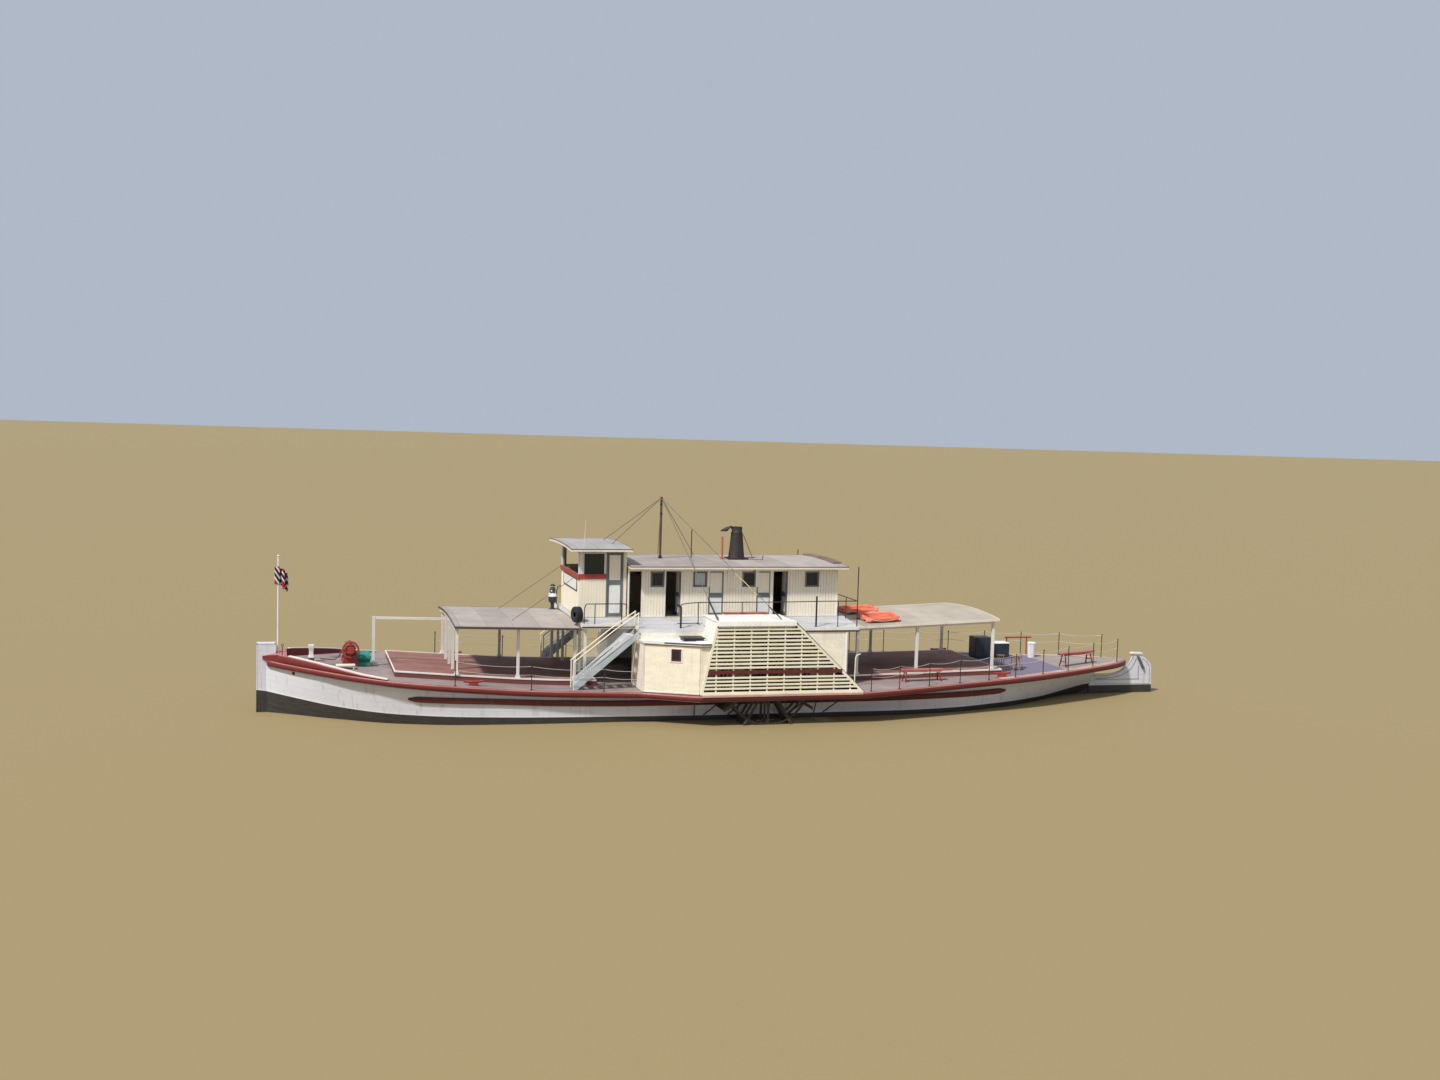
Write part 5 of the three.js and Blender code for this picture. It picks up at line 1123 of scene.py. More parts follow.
for name, node, ends, half, crowns, eaves, thick, finish, pitch, upper_look, lower_look in ROOFS:
    def on_roof(share, y, w, dx=0.0):
        """A point some height off the roof's top"""
        crown, eave = between_ends(crowns, share), between_ends(eaves, share)
        return aft(between_ends(ends, share)) + dx, y, crown - (crown - eave) * (y / half) ** 2 + w

    across = evenly(-half, half, 32)
    ring = [(y, 0.0) for y in across] + [(y, -thick) for y in reversed(across)]
    sheet = piece(name + "_canvas", [strip([[on_roof(share, y, w) for y, w in ring]
                                            for share in evenly(0, 1, 24)])],
                  finish, "roof_taupe", smooth=40)
    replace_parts(sheet, node)
    lap = [(-0.022, -0.003), (0.022, -0.003), (0.018, 0.006), (-0.018, 0.006)]
    size = round((ends[1] - ends[0]) / pitch)
    seams = [strip([[on_roof(k / size, y, w, dx) for dx, w in lap] for y in across])
             for k in range(1, size)]
    piece(name + "_canvas_seams", seams, finish, "roof_taupe", smooth=40)
    split = 0.4 * thick
    for part, look, high, low in (("_edge", upper_look, -0.006, split),
                                  ("_fascia", lower_look, split, thick + 0.012)):
        edge = quad(-0.01, 0.014, high, low)
        trim = [strip([[(aft(between_ends(ends, share)), side * (half + u), between_ends(eaves, share) - w)
                        for u, w in edge] for share in (0.0, 0.5, 1.0)]) for side in (-1, 1)]
        trim += [strip([[on_roof(share, y, -w, out * u) for u, w in edge] for y in across])
                 for share, out in ((0.0, -1), (1.0, 1))]
        piece(name + part, trim, look, "cream" if look is fascia_cream else "roof_taupe", smooth=40)
end_strip = []
for y0, y1 in ((-1.62, -0.02), (0.02, 2.0)):
    end_strip.append(strip([[(aft(d), y, 5.45 - 0.08 * (y / 2.36) ** 2 + w) for d, w in (
        (20.72, -0.002), (21.04, -0.002), (21.04, 0.07), (20.76, 0.075))] for y in evenly(y0, y1, 12)]))
piece("cabin_roof_end_strip", end_strip, edge_brown, "roof_taupe", smooth=40)

# Canopy frames, goal post and ridge spar: square white posts with flared feet, braced under the
# eaves. An arched beam closes the fore end.
dress("canopy_frame_fore", post_white)
dress("canopy_frame_aft", post_white)
arch = strip([[(aft(d), y, 3.47 - 0.13 * (y / 2.82) ** 2 - 0.062 + w)
               for d, w in quad(6.60, 6.665, -0.10, 0.0)]
              for y in evenly(-2.55, 2.55, 24)])
piece("fore_canopy_arch", [arch], post_white, "white", smooth=30)
feet = []
for d in (6.7, 8.84, 10.85, 21.5, 23.89, 27.0):
    z = hold_top(d) + 0.002
    for half, low, high in ((0.085, 0.0, 0.05), (0.066, 0.05, 0.11)):
        feet += [box((d - half, d + half), (2.4 - half, 2.4 + half), (z + low, z + high), side)
                 for side in (-1, 1)]
piece("canopy_post_feet", feet, post_white, "white", bevel=0.006)

# Funnel: a riveted iron stack with a flared foot and a narrower collar, blacked and sooty, and a
# round iron flap that hinges on ears at the fore side.
soot = painted("funnel_soot", "2b2624", "3a322e", bare="6b4a38", rough=0.6, wear=0.12, streaks=0.25,
               grain=2.0)


def lathe(profile, d, y=0.0, sides=48):
    """A round body about an upright axis, from radius and height pairs that start and end on the axis"""
    return strip([[(aft(d) + r * math.cos(a), y + r * math.sin(a), z) for a in around(sides)]
                  for r, z in profile[1:-1]])


FUNNEL = 17.41
FLAP = FUNNEL - 0.222
stack = [(0, 5.465), (0.385, 5.465), (0.385, 5.500), (0.312, 5.508), (0.300, 5.56), (0.221, 6.37),
         (0.221, 6.40),
         (0.232, 6.405), (0.232, 6.435), (0.204, 6.44), (0.200, 6.445), (0.200, 6.630), (0.206, 6.634),
         (0.206, 6.650), (0.180, 6.650), (0.178, 5.62), (0, 5.62)]
shapes = [lathe(stack, FUNNEL), box((FUNNEL - 0.40, FUNNEL + 0.40), (-0.30, 0.30), (5.4505, 5.492)),
          box((FLAP - 0.012, FLAP + 0.032), (-0.055, 0.055), (6.58, 6.625))]
shapes += [box((FLAP - 0.012, FLAP + 0.012), (0.041, 0.055), (6.59, 6.688), side) for side in (-1, 1)]
shapes += [post(FUNNEL + reach * math.cos(a), reach * math.sin(a), height, height + 0.014, 0.012, 6)
           for height, reach in ((5.62, 0.294), (6.00, 0.257)) for a in around(16)]
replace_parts(piece("funnel_stack", shapes, soot, "black_steel", smooth=40), "funnel")
profile = [(0, -0.105), (0.03, -0.100), (0.205, -0.012), (0.215, -0.006), (0.215, 0.012), (0.205, 0.016),
           (0, 0.016)]
hang = Matrix.Rotation(math.radians(-25), 3, "Y")
hinge = Vector((aft(FLAP), 0.0, 6.674))
lid = [lathe(profile, HALF_LENGTH - 0.24, sides=40), block((-0.30, 0.0), (-0.035, 0.035), (0.0, 0.018)),
       tube([(0, -0.058, 0), (0, 0.058, 0)], 0.0057)]
lid = [([hinge + hang @ Vector(p) for p in points], faces) for points, faces in lid]
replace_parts(piece("funnel_lid", lid, soot, "black_steel", body="funnel_flap", smooth=40), "funnel_flap")
pipe_red = painted("pipe_red", "b04e3c", "c06a55", wear=0.08)
vent = [pipe([(16.77, -0.3, 5.44), (16.76, -0.3, 6.30)], 0.038, 12),
        post(16.77, -0.3, 5.44, 5.50, 0.07, 12)]
piece("roof_vent_pipe", vent, pipe_red, "red_trim", smooth=50)
strap = [box((16.95, 18.30), (-0.50, -0.47), (5.447, 5.462)),
         pipe([(18.30, -0.485, 5.45), (18.32, -0.485, 5.60), (18.35, -0.485, 5.61)], 0.012)]
piece("funnel_guy_bar", strap, iron_black, "black_steel")

# Mast: a dark weathered pole stepped on the cabin roof. Its wire stays run to the wheelhouse roof
# and to the paddle boxes, and lighter wires and a whip aerial stand about it.
mast_wood = painted("mast_wood", "4a3a33", "5c4b41", bare="7a6757", rough=0.7, wear=0.1, grain=2.5)
sleeve_yellow = painted("sleeve_yellow", "e0c752", "eadb86", wear=0.04)
wire_grey = painted("wire_grey", "4f4c49", "6b6762", grain=4.0)
dress("mast", mast_wood)
dress("mast_stays", wire_grey)
MAST = 14.45
MAST_TOP = Vector((aft(MAST), 0.0, 7.66))
FORE_FOOT, AFT_FOOT = Vector((aft(15.45), -4.78, 3.70)), Vector((aft(17.85), -4.6, 3.70))


def along_stay(foot, heights):
    """The points of a stay at some heights"""
    return [foot + (MAST_TOP - foot) * ((z - foot.z) / (MAST_TOP.z - foot.z)) for z in heights]


bands = [post(MAST, 0, z, z + 0.04, r, 16)
         for z, r in ((7.45, 0.056), (7.10, 0.054), (5.452, 0.085), (5.52, 0.07))]
piece("mast_bands", bands, iron_black, "black_steel", smooth=40)
rigging = [pipe([(11.06, 1.7, 5.02), (8.70, 1.7, 3.38)], 0.010, side=side) for side in (-1, 1)]
rigging.append(pipe([(17.66, 0.0, 6.36), (18.07, 0.0, 5.452)], 0.014))
piece("roof_stays", rigging, wire_grey, "black_steel", smooth=60)
sleeve = tube(along_stay(AFT_FOOT, (5.20, 4.50)), 0.013)
piece("stay_sleeve_yellow", [sleeve], sleeve_yellow, "slat_yellow", smooth=60)
screws = [tube(along_stay(FORE_FOOT, (3.74, 3.80, 4.36, 4.42)), 0, swell=(0.015, 0.032, 0.032, 0.015)),
          tube(along_stay(AFT_FOOT, (3.74, 3.80, 4.10, 4.16)), 0, swell=(0.014, 0.024, 0.024, 0.014))]
piece("rigging_screws", screws, iron_black, "black_steel", smooth=60)
piece("roof_pole", [post(15.65, 0.0, 5.452, 6.53, 0.018)], iron_black, "black_steel", smooth=60)
whip = pipe([(11.2, -1.9, 5.95), (11.22, -1.9, 6.3), (11.24, -1.9, 7.0)], 0, swell=(0.014, 0.011, 0.006))
piece("whip_aerial", [whip], post_white, "white", smooth=60)

# Stairs from the guards to the upper deck: pale aluminium strings with a perforated upper strip,
# ribbed treads, and thin cream handrails with wires below them.
stair_blue = painted("stair_pale_blue", "a9b6bf", "bfcad1", bare="7d8790", rough=0.4, wear=0.08, grain=2.0,
                     metallic=0.1)
stair_strip = painted("stair_strip_white", "d3d6d8", "e4e6e7", rough=0.45, wear=0.1, grain=2.0)
rail_cream = painted("rail_cream", "e3dcc4", "efe9d6")
wire_pale = painted("wire_pale", "bdbbb4", "d0cec8", wear=0.03, grain=4.0)
STAIR_LOW = ((10.66, 1.175), (12.87, 2.97))
STAIR_HIGH = ((10.66, 1.50), (12.74, 3.31))


def upper_top(y):
    """Height of the upper deck's top, level inboard and falling to its edges"""
    return 3.48 - 0.18 * max(0.0, (abs(y) - 2.0) / 1.58)


def lean_z(line, distance):
    """Height of a leaning line at a distance"""
    (d0, z0), (d1, z1) = line
    return z0 + (distance - d0) / (d1 - d0) * (z1 - z0)


for port, side in SIDES:
    strings, strips, holes, treads, rails, wires = [], [], [], [], [], []
    foot_z, head_z = (lean_z(STAIR_LOW, d) + 0.20 for d in (10.66, 12.84))
    for y in (2.96, 3.53):
        strings.append(plate([(10.66, 1.172), (10.74, 1.172), (12.86, 2.95), (12.86, 3.17),
                              (10.66, foot_z)], (y, y + 0.03), side))
        strips.append(plate([(10.66, foot_z + 0.012), (12.85, head_z + 0.030), (12.78, 3.06), (12.50, 3.09),
                             (10.66, 1.45)], (y + 0.003, y + 0.027), side))
        for d in evenly(10.74, 12.78, 33):
            low, high = lean_z(STAIR_LOW, d) + 0.215, lean_z(STAIR_HIGH, d)
            holes += [((aft(d), side * (y + 0.015), low + share * (high - low)), (0.016, 0.029, 0.016))
                      for share in (0.3, 0.68)]
    for k in range(1, 10):
        x, z = aft(10.65 + k / 10 * 2.24), 1.165 + k / 10 * 2.137 - 0.06
        treads += [((x + dx, side * 3.26, z + dz), (long, 0.54, thick)) for dx, dz, long, thick in (
            (0, 0.012, 0.19, 0.024), (-0.09, -0.01, 0.012, 0.05),
            *((-0.08 + 0.04 * j, 0.027, 0.012, 0.008) for j in range(5)))]
    for y in (2.985, 3.535):
        rails += [pipe([(10.60, y, 2.13), (12.04, y, 3.26), (12.90, y, 3.86)], 0.024, side=side),
                  post(10.63, y, 1.175, 2.15, 0.022, side=side),
                  post(12.88, y, upper_top(y), 3.85, 0.022, side=side)]
        wires += [pipe([(10.63, y, 2.13 - drop), (12.88, y, 3.86 - drop * 0.9)], 0.006, 6, side)
                  for drop in (0.13, 0.26, 0.38, 0.50)]
    strings_piece = piece("stair_strings_" + port, strings, stair_blue, "grey_steel", bevel=0.004)
    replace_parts(strings_piece, "stair_" + port)
    piece("stair_strips_" + port, strips, stair_strip, "grey_steel", bevel=0.003)
    # The perforations of the upper strip are small black blocks: painted shade where the holes show.
    lay("stair_hole_shade_blocks_" + port, holes, iron_black, "black_steel")
    lay("stair_treads_" + port, treads, stair_strip, "grey_steel")
    piece("stair_rails_" + port, rails, rail_cream, "cream", smooth=50)
    piece("stair_wires_" + port, wires, wire_pale, "grey_steel")

# Guard stanchions and their slack wires: thin black iron posts let into the edge of the guards,
# with two pale wires that sag from post to post.
STANCHIONS = [(6.53, 0.86), (9.13, 0.84), (11.65, 0.80), (21.20, 0.84), (22.39, 0.84), (23.69, 0.86),
              (25.07, 0.88), (26.40, 0.88), (27.67, 0.88), (29.08, 0.92), (30.45, 0.93), (31.87, 0.93),
              (33.40, 0.93)]


def guard_post(distance, side):
    """Foot of a stanchion near the deck's edge"""
    spot, out = outboard(distance, side)
    return spot - 0.09 * out + up(deck_top(distance))


def sagging(start, end, sag, size):
    """A slack wire between two points"""
    path = [start.lerp(end, t) - up(4 * sag * t * (1 - t)) for t in evenly(0, 1, size)]
    return tube(path, 0.008, 6)


posts, slack = [], []
for side in (-1, 1):
    tops = [(guard_post(d, side), tall) for d, tall in STANCHIONS]
    for foot, tall in tops:
        posts += [tube([foot, foot + up(tall)], 0.017), tube([foot, foot + up(0.018)], 0.045, 12),
                  tube([foot + up(tall - 0.03), foot + up(tall + 0.012)], 0.024)]
    for share, sag in ((0.97, 0.075), (0.62, 0.06)):
        slack += [sagging(a + up(tall_a * share), b + up(tall_b * share), sag, 10)
                  for (a, tall_a), (b, tall_b) in zip(tops, tops[1:]) if (b - a).length <= 4.0]
        start = guard_post(11.65, side) + up(0.80 * share)
        slack.append(sagging(start, Vector((aft(12.95), side * 3.98, start.z - 0.04)), 0.05, 6))
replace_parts(piece("guard_stanchions", posts, iron_black, "black_steel", smooth=50), "stern_rail")
piece("guard_wires", slack, wire_pale, "grey_steel", smooth=60)

# Upper rail: thin black pipe on screwed feet, outboard abaft the paddle boxes and inboard of them,
# with a stouter bent post by the wing room and a tall pole at the aft corner.
RAIL_POSTS = [(11.46, 2.85, 4.10, 0.017), (12.42, 2.85, 4.10, 0.017), (15.20, 2.95, 4.15, 0.017),
              (16.83, 2.95, 4.15, 0.017), (18.31, 2.95, 4.15, 0.017), (20.30, 3.5, 4.24, 0.017),
              (19.47, 3.5, 4.42, 0.034)]
END_POSTS = [(3.5, 5.49, 0.02), (2.3, 4.24, 0.017), (1.0, 4.24, 0.017)]
BENT_PIPES = [
    ([(11.08, 2.85, 3.38), (11.08, 2.85, 4.10), (11.3, 2.85, 4.10), (12.3, 2.85, 4.10), (12.6, 2.85, 4.10),
      (12.6, 2.85, 3.9)], 0.017),
    ([(14.42, 3.5, 4.05), (14.42, 3.45, 4.16), (15.2, 2.95, 4.15), (15.5, 2.95, 4.15), (18.1, 2.95, 4.15),
      (18.5, 2.95, 4.15), (19.47, 3.5, 4.24), (20.7, 3.5, 4.24), (21.04, 3.5, 4.24), (21.04, 3.2, 4.24),
      (21.04, 0.0, 4.24)], 0.017),
    ([(14.31, 3.40, 3.46), (15.10, 3.40, 3.46), (15.2, 2.95, 3.46)], 0.014),
    ([(14.42, 3.5, 3.22), (14.42, 3.5, 3.9), (14.42, 3.5, 4.06), (14.26, 3.5, 4.14)], 0.036),
]


def bent(points, radius, side=1):
    """A pipe whose corners are bent round"""
    return pipe(eased(points), radius, side=side)


rail_shapes = []
for side in (-1, 1):
    for d, y, high, reach in RAIL_POSTS:
        low = upper_top(y)
        rail_shapes += [post(d, y, low, high, reach, side=side),
                        post(d, y, low, low + 0.02, reach + 0.028, 12, side)]
    rail_shapes += [bent(points, radius, side) for points, radius in BENT_PIPES]
    rail_shapes += [post(21.04, y, upper_top(y), high, radius, side=side) for y, high, radius in END_POSTS]
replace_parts(piece("upper_rail_pipes", rail_shapes, iron_black, "black_steel", smooth=50), "upper_rail")
hand_line = [(20.93, 3.78, 1.16), (20.93, 3.78, 2.1), (20.95, 3.78, 2.28), (21.12, 3.78, 2.34)]
hand_posts = [bent(hand_line, 0.02, side) for side in (-1, 1)]
piece("bent_hand_posts", hand_posts, rail_cream, "cream", smooth=50)

# Trestle benches: a painted plank on splayed legs with cross bars, red and scuffed pink on top.
# One stands on the port guard, one across the stern, and a low bench on the upper deck.
bench_red = painted("bench_red", "a04c47", "b9736d", bare="d0a8a2", wear=0.16, streaks=0.1)
bench_leg_red = painted("bench_leg_red", "7c2622", "94352f", bare="4b2a26", rough=0.55, wear=0.1)


def trestle(start, end, top, floor_height, wide=0.28, thick=0.05):
    """Plank and legs of a bench between two plan points, standing on a floor of known height at x and y"""
    a, b = (Vector((aft(d), y, 0.0)) for d, y in (start, end))
    run, middle, length, tall = (b - a).normalized(), (a + b) / 2, (b - a).length, top - thick
    cross = Vector((-run.y, run.x, 0.0))
    turn = (0, 0, math.atan2(run.y, run.x))
    planks = [(middle + up(top - thick / 2), (length, wide, thick), turn)]
    legs = []
    for k in (-1, 1):
        edge = middle + cross * (k * (wide / 2 - 0.02))
        planks.append((edge + up(tall - 0.03), (length - 0.2, 0.03, 0.06), turn))
    for share, lean in ((0.12, -0.06), (0.88, 0.06)):
        spot = a.lerp(b, share)
        for k in (-1, 1):
            head, base = spot + cross * (k * 0.07), spot + cross * (k * (wide / 2 + 0.03)) + run * lean
            foot = floor_height(base.x, base.y)
            legs.append(tube([base + up(foot), head + up(tall)], 0.03, 4))
        bar = [spot + cross * (k * 0.13) + run * lean * 0.5 + up(foot + (tall - foot) * 0.4)
               for k in (-1, 1)]
        legs.append(tube(bar, 0.022, 4))
    return planks, legs


def on_deck(x, y):
    """Height of the main deck at a plan point"""
    return deck_top(x + HALF_LENGTH) + 0.002


for name, node, start, end, top, floor_height in (
    ("side_trestle", "side_bench", (22.95, -3.2), (24.65, -3.2), 1.66, on_deck),
    ("stern_trestle", "stern_bench", (30.45, -1.32), (32.25, -0.60), 1.86, on_deck),
    ("upper_bench", None, (16.16, -2.75), (17.84, -2.75), 3.76, lambda x, y: upper_top(y) + 0.002),
):
    planks, legs = trestle(start, end, top, floor_height)
    seat = lay(name + "_plank", planks, bench_red, "red_trim", bevel=0.006)
    piece(name + "_legs", legs, bench_leg_red, "red_trim", bevel=0.004)
    if node:
        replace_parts(seat, node)

# Fore deck gear: white waisted mooring post on a red foot, the windlass of red-painted iron with
# wooden whelps on its barrel, and its small twin-cylinder engine in green.
windlass_red = painted("windlass_red", "8e2f29", "a2443c", bare="4d3a33", wear=0.12)
engine_teal = painted("engine_teal", "1f7f6d", "2f9683", bare="27302e", rough=0.35, wear=0.1, grain=2.0)
whelp_wood = painted("whelp_wood", "6b4634", "80573f", bare="9d7a5c", rough=0.6, wear=0.1, grain=2.5)
dress("windlass_frame", windlass_red)
dress("windlass_drum", windlass_red)
dress("windlass_engine", engine_teal)
MOOR, MOOR_FOOT = 1.86, 1.758
moor = [[(aft(MOOR) + x, y, z) for x, y in quad(-half, half, -half, half)] for half, z in (
    (0.10, MOOR_FOOT + 0.12), (0.098, MOOR_FOOT + 0.16), (0.078, MOOR_FOOT + 0.24), (0.074, 2.12),
    (0.088, 2.20), (0.098, 2.25), (0.10, 2.345))]
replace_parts(piece("mooring_post_waisted", [strip(moor)], post_white, "white", bevel=0.012), "mooring_post")
piece("mooring_post_foot", [box((MOOR - 0.102, MOOR + 0.102), (-0.102, 0.102),
                                (MOOR_FOOT, MOOR_FOOT + 0.13))],
      wale_red, "red_trim", bevel=0.008)
dress("jackstaff", post_white)
truck = [(0, 5.465), (0.03, 5.468), (0.045, 5.485), (0.047, 5.50), (0.038, 5.52), (0.018, 5.532),
         (0, 5.534)]
piece("jackstaff_truck", [lathe(truck, 0.72, sides=20)], post_white, "white", smooth=60)
whelps = [((aft(3.19) + 0.178 * math.sin(a), 0.0, 2.24 + 0.178 * math.cos(a)), (0.05, 0.80, 0.035),
           (0, a, 0)) for a in around(8)]
lay("windlass_whelps", whelps, whelp_wood, "timber", body="windlass_drum", bevel=0.006)
covers = []
for y in (-0.30, 0.30):
    covers += [pipe([(d0, y, 1.92), (d1, y, 1.92)], reach, 24) for d0, d1, reach in (
        (3.372, 3.40, 0.155), (3.86, 3.888, 0.155), (3.355, 3.372, 0.05), (3.888, 3.91, 0.045))]
    for a in around(8):
        bolt_y, bolt_z = y + 0.13 * math.cos(a), 1.92 + 0.13 * math.sin(a)
        covers.append(pipe([(3.362, bolt_y, bolt_z), (3.374, bolt_y, bolt_z)], 0.012, 6))
piece("windlass_engine_covers", covers, engine_teal, "teal", smooth=50)
brake = pipe([(2.16, -0.54, 1.93), (2.64, -0.54, 1.89), (2.80, -0.54, 2.02), (2.92, -0.54, 2.24)], 0.026)
piece("windlass_brake_lever", [brake], whelp_wood, "timber", smooth=50)
table = [box((2.67, 3.32), (-1.30, -0.95), (1.765, 1.80))]
table += [box((d - 0.02, d + 0.02), (y - 0.02, y + 0.02), (deck_top(d) + 0.002, 1.766))
          for d in (2.72, 3.27) for y in (-1.26, -0.99)]
piece("low_cream_table", table, rail_cream, "cream", bevel=0.006)
ring = [(aft(0.87) + 0.035 * math.cos(a), -0.66, 2.435 + 0.035 * math.sin(a))
        for a in evenly(0, 2 * math.pi, 16)]
piece("bow_ring_stanchion", [post(0.87, -0.66, 2.085, 2.40, 0.014), tube(ring, 0.010, 6)], iron_black,
      "black_steel", smooth=50)
hawse = []
HAWSE, HAWSE_Z = 1.25, 1.49
slope_x = (side_at(HAWSE + 0.05, HAWSE_Z) - side_at(HAWSE - 0.05, HAWSE_Z)) / 0.1
slope_z = (side_at(HAWSE, HAWSE_Z + 0.05) - side_at(HAWSE, HAWSE_Z - 0.05)) / 0.1
for side in (-1, 1):
    out = Vector((-slope_x, side, -slope_z)).normalized()
    spot = Vector((aft(HAWSE), side * side_at(HAWSE, HAWSE_Z), HAWSE_Z))
    hawse.append(tube([spot - out * 0.05, spot + out * 0.012], 0.06, 20))
piece("hawse_holes", hawse, iron_black, "black_steel", smooth=40)

# Flag on the jackstaff: light bunting in red, white and navy bands, laced by its short edge and
# hanging limp in folds beside the staff. It bears no device.
flag_cloth, tree, shader = surface("flag_bunting")
fly, drop = (make(tree, "ShaderNodeAttribute", attribute_name=name).outputs["Fac"]
             for name in ("along_fly", "down_hoist"))
slope = count(tree, "PINGPONG", count(tree, "ADD", fly, count(tree, "MULTIPLY", drop, 0.6)), 0.25)
tone = srgb("a3122c")
for line, code in ((0.085, "e9e6ea"), (0.135, "1c2338"), (0.225, "e9e6ea")):
    tone = over(tree, between(tree, slope, line, line + 0.01), tone, srgb(code))
weave = count(tree, "ADD", count(tree, "PINGPONG", fly, 0.004), count(tree, "PINGPONG", drop, 0.004))
worn = shaded(tree, between(tree, cloud(tree, (9.0,) * 3), 0.3, 0.7, 0.9, 1.05), tone)
wire_up(tree, shader, worn, between(tree, weave, 0.0, 0.008, 0.75, 0.85), weave, 0.0006)
flag_plan = eased([(0.0, -0.045), (-0.13, -0.06), (-0.19, -0.02), (-0.10, 0.035), (0.02, 0.07),
                   (0.14, 0.03), (0.20, -0.05), (0.13, -0.10), (0.06, -0.04), (0.10, 0.06),
                   (0.22, 0.07), (0.31, 0.00), (0.24, -0.08)])
spans = [0.0]
for a, b in zip(flag_plan, flag_plan[1:]):
    spans.append(spans[-1] + math.dist(a, b))
FLAG_LONG, FLAG_HIGH, ROWS = spans[-1], 0.60, 24
downs = evenly(0.0, FLAG_HIGH, ROWS)
points = []
for (x, y), run in zip(flag_plan, spans):
    share = run / FLAG_LONG
    for down in downs:
        ripple = 0.012 * math.sin(9 * down + 5 * share) * share
        points.append((aft(0.765) + x + ripple, y + ripple * 0.6, 5.13 - down - 0.30 * share ** 1.3))
wide = ROWS + 1
faces = [(i + k, i + k + 1, i + wide + k + 1, i + wide + k)
         for i in range(0, (len(flag_plan) - 1) * wide, wide) for k in range(ROWS)]
flag = piece("jack_flag", [(points, faces)], flag_cloth, "red_trim", smooth=180)
for key, values in (("along_fly", [run for run in spans for _ in downs]),
                    ("down_hoist", downs * len(spans))):
    flag.data.attributes.new(key, "FLOAT", "POINT").data.foreach_set("value", values)

# Life floats on the aft canopy: buoyant rings covered in orange-red canvas, a slatted floor, and
# pale rope looped along their sides. They lie on timber runners.
float_skin = painted("float_skin", "d9573a", "e98a6c", bare="f2cdbd", rough=0.75, wear=0.18, streaks=0.12,
                     grain=1.6)
rope_pale = painted("rope_pale", "d9cfb8", "e8e0cd", rough=0.9, grain=5.0)
AFT_ROOF = next(roof for roof in ROOFS if roof[0] == "aft_canopy")
FLOAT_LONG, FLOAT_ROUND, FLOAT_BEND = 1.38, 0.22, 0.135


def roof_top(distance, y):
    """Height of the aft canopy's roof"""
    (d0, d1), half, crowns, eaves = AFT_ROOF[2:6]
    crown, eave = (between_ends(pair, (distance - d0) / (d1 - d0)) for pair in (crowns, eaves))
    return crown - (crown - eave) * (y / half) ** 2


def hoop(rings):
    """A closed ring of one section's points at each place along it"""
    wide = len(rings[0])
    points = [p for ring in rings for p in ring]
    return points, [(i + j, i + (j + 1) % wide, (i + wide + (j + 1) % wide) % len(points),
                     (i + wide + j) % len(points))
                    for i in range(0, len(points), wide) for j in range(wide)]


skin = [(0.083 * math.cos(a) * (1.0 if abs(math.cos(a)) < 0.8 else 0.96), 0.078 * math.sin(a))
        for a in around(16)]
for name, start, low_y, high_y in (("port", 21.95, -2.20, -0.95), ("middle", 21.85, -0.30, 1.05)):
    end, path = start + FLOAT_LONG, []
    corners = quad(start + FLOAT_ROUND, end - FLOAT_ROUND, low_y + FLOAT_ROUND, high_y - FLOAT_ROUND)
    for corner, (d, y) in enumerate(corners):
        for angle in evenly((corner + 2) * math.pi / 2, (corner + 3) * math.pi / 2, 8):
            px, py = d + FLOAT_BEND * math.cos(angle), y + FLOAT_BEND * math.sin(angle)
            path.append(Vector((aft(px), py, roof_top(px, py) + 0.13)))
    rings = []
    for i, spot in enumerate(path):
        run = path[(i + 1) % len(path)] - path[i - 1]
        out = Vector((run.y, -run.x, 0.0)).normalized()
        rings.append([spot + out * u + up(w) for u, w in skin])
    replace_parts(piece("life_float_ring_" + name, [hoop(rings)], float_skin, "float_orange", smooth=60),
                "life_float_" + name)
    slats, middle = [], start + FLOAT_LONG / 2
    for y in evenly(low_y + 0.17, high_y - 0.17, 8):
        slope = (roof_top(end, y) - roof_top(start, y)) / (end - start)
        slats.append(((aft(middle), y, roof_top(middle, y) + 0.095), (1.14, 0.07, 0.02),
                      (0, -math.atan(slope), 0)))
    lay("life_float_floor_" + name, slats, float_skin, "float_orange", bevel=0.004)
    runners = []
    for y in (low_y + 0.2, high_y - 0.2):
        outline = [(d, roof_top(d, y) + w) for d, w in quad(start - 0.03, end + 0.03, 0.001, 0.055)]
        runners.append(plate(outline, (y - 0.04, y + 0.04)))
    piece("life_float_runners_" + name, runners, float_skin, "float_orange", bevel=0.004)
    centre = sum(path, Vector()) / len(path)
    seats = [path[round(k * len(path) / 14) % len(path)] for k in range(15)]
    loops = []
    for a, b in zip(seats, seats[1:]):
        row = []
        for t in evenly(0, 1, 8):
            spot = a.lerp(b, t)
            out = Vector((*(spot - centre).xy, 0.0)).normalized()
            row.append(spot + out * 0.092 + up(0.02 - 0.085 * 4 * t * (1 - t)))
        loops.append(tube(row, 0.010, 6))
    piece("life_float_ropes_" + name, loops, rope_pale, "cream", smooth=60)

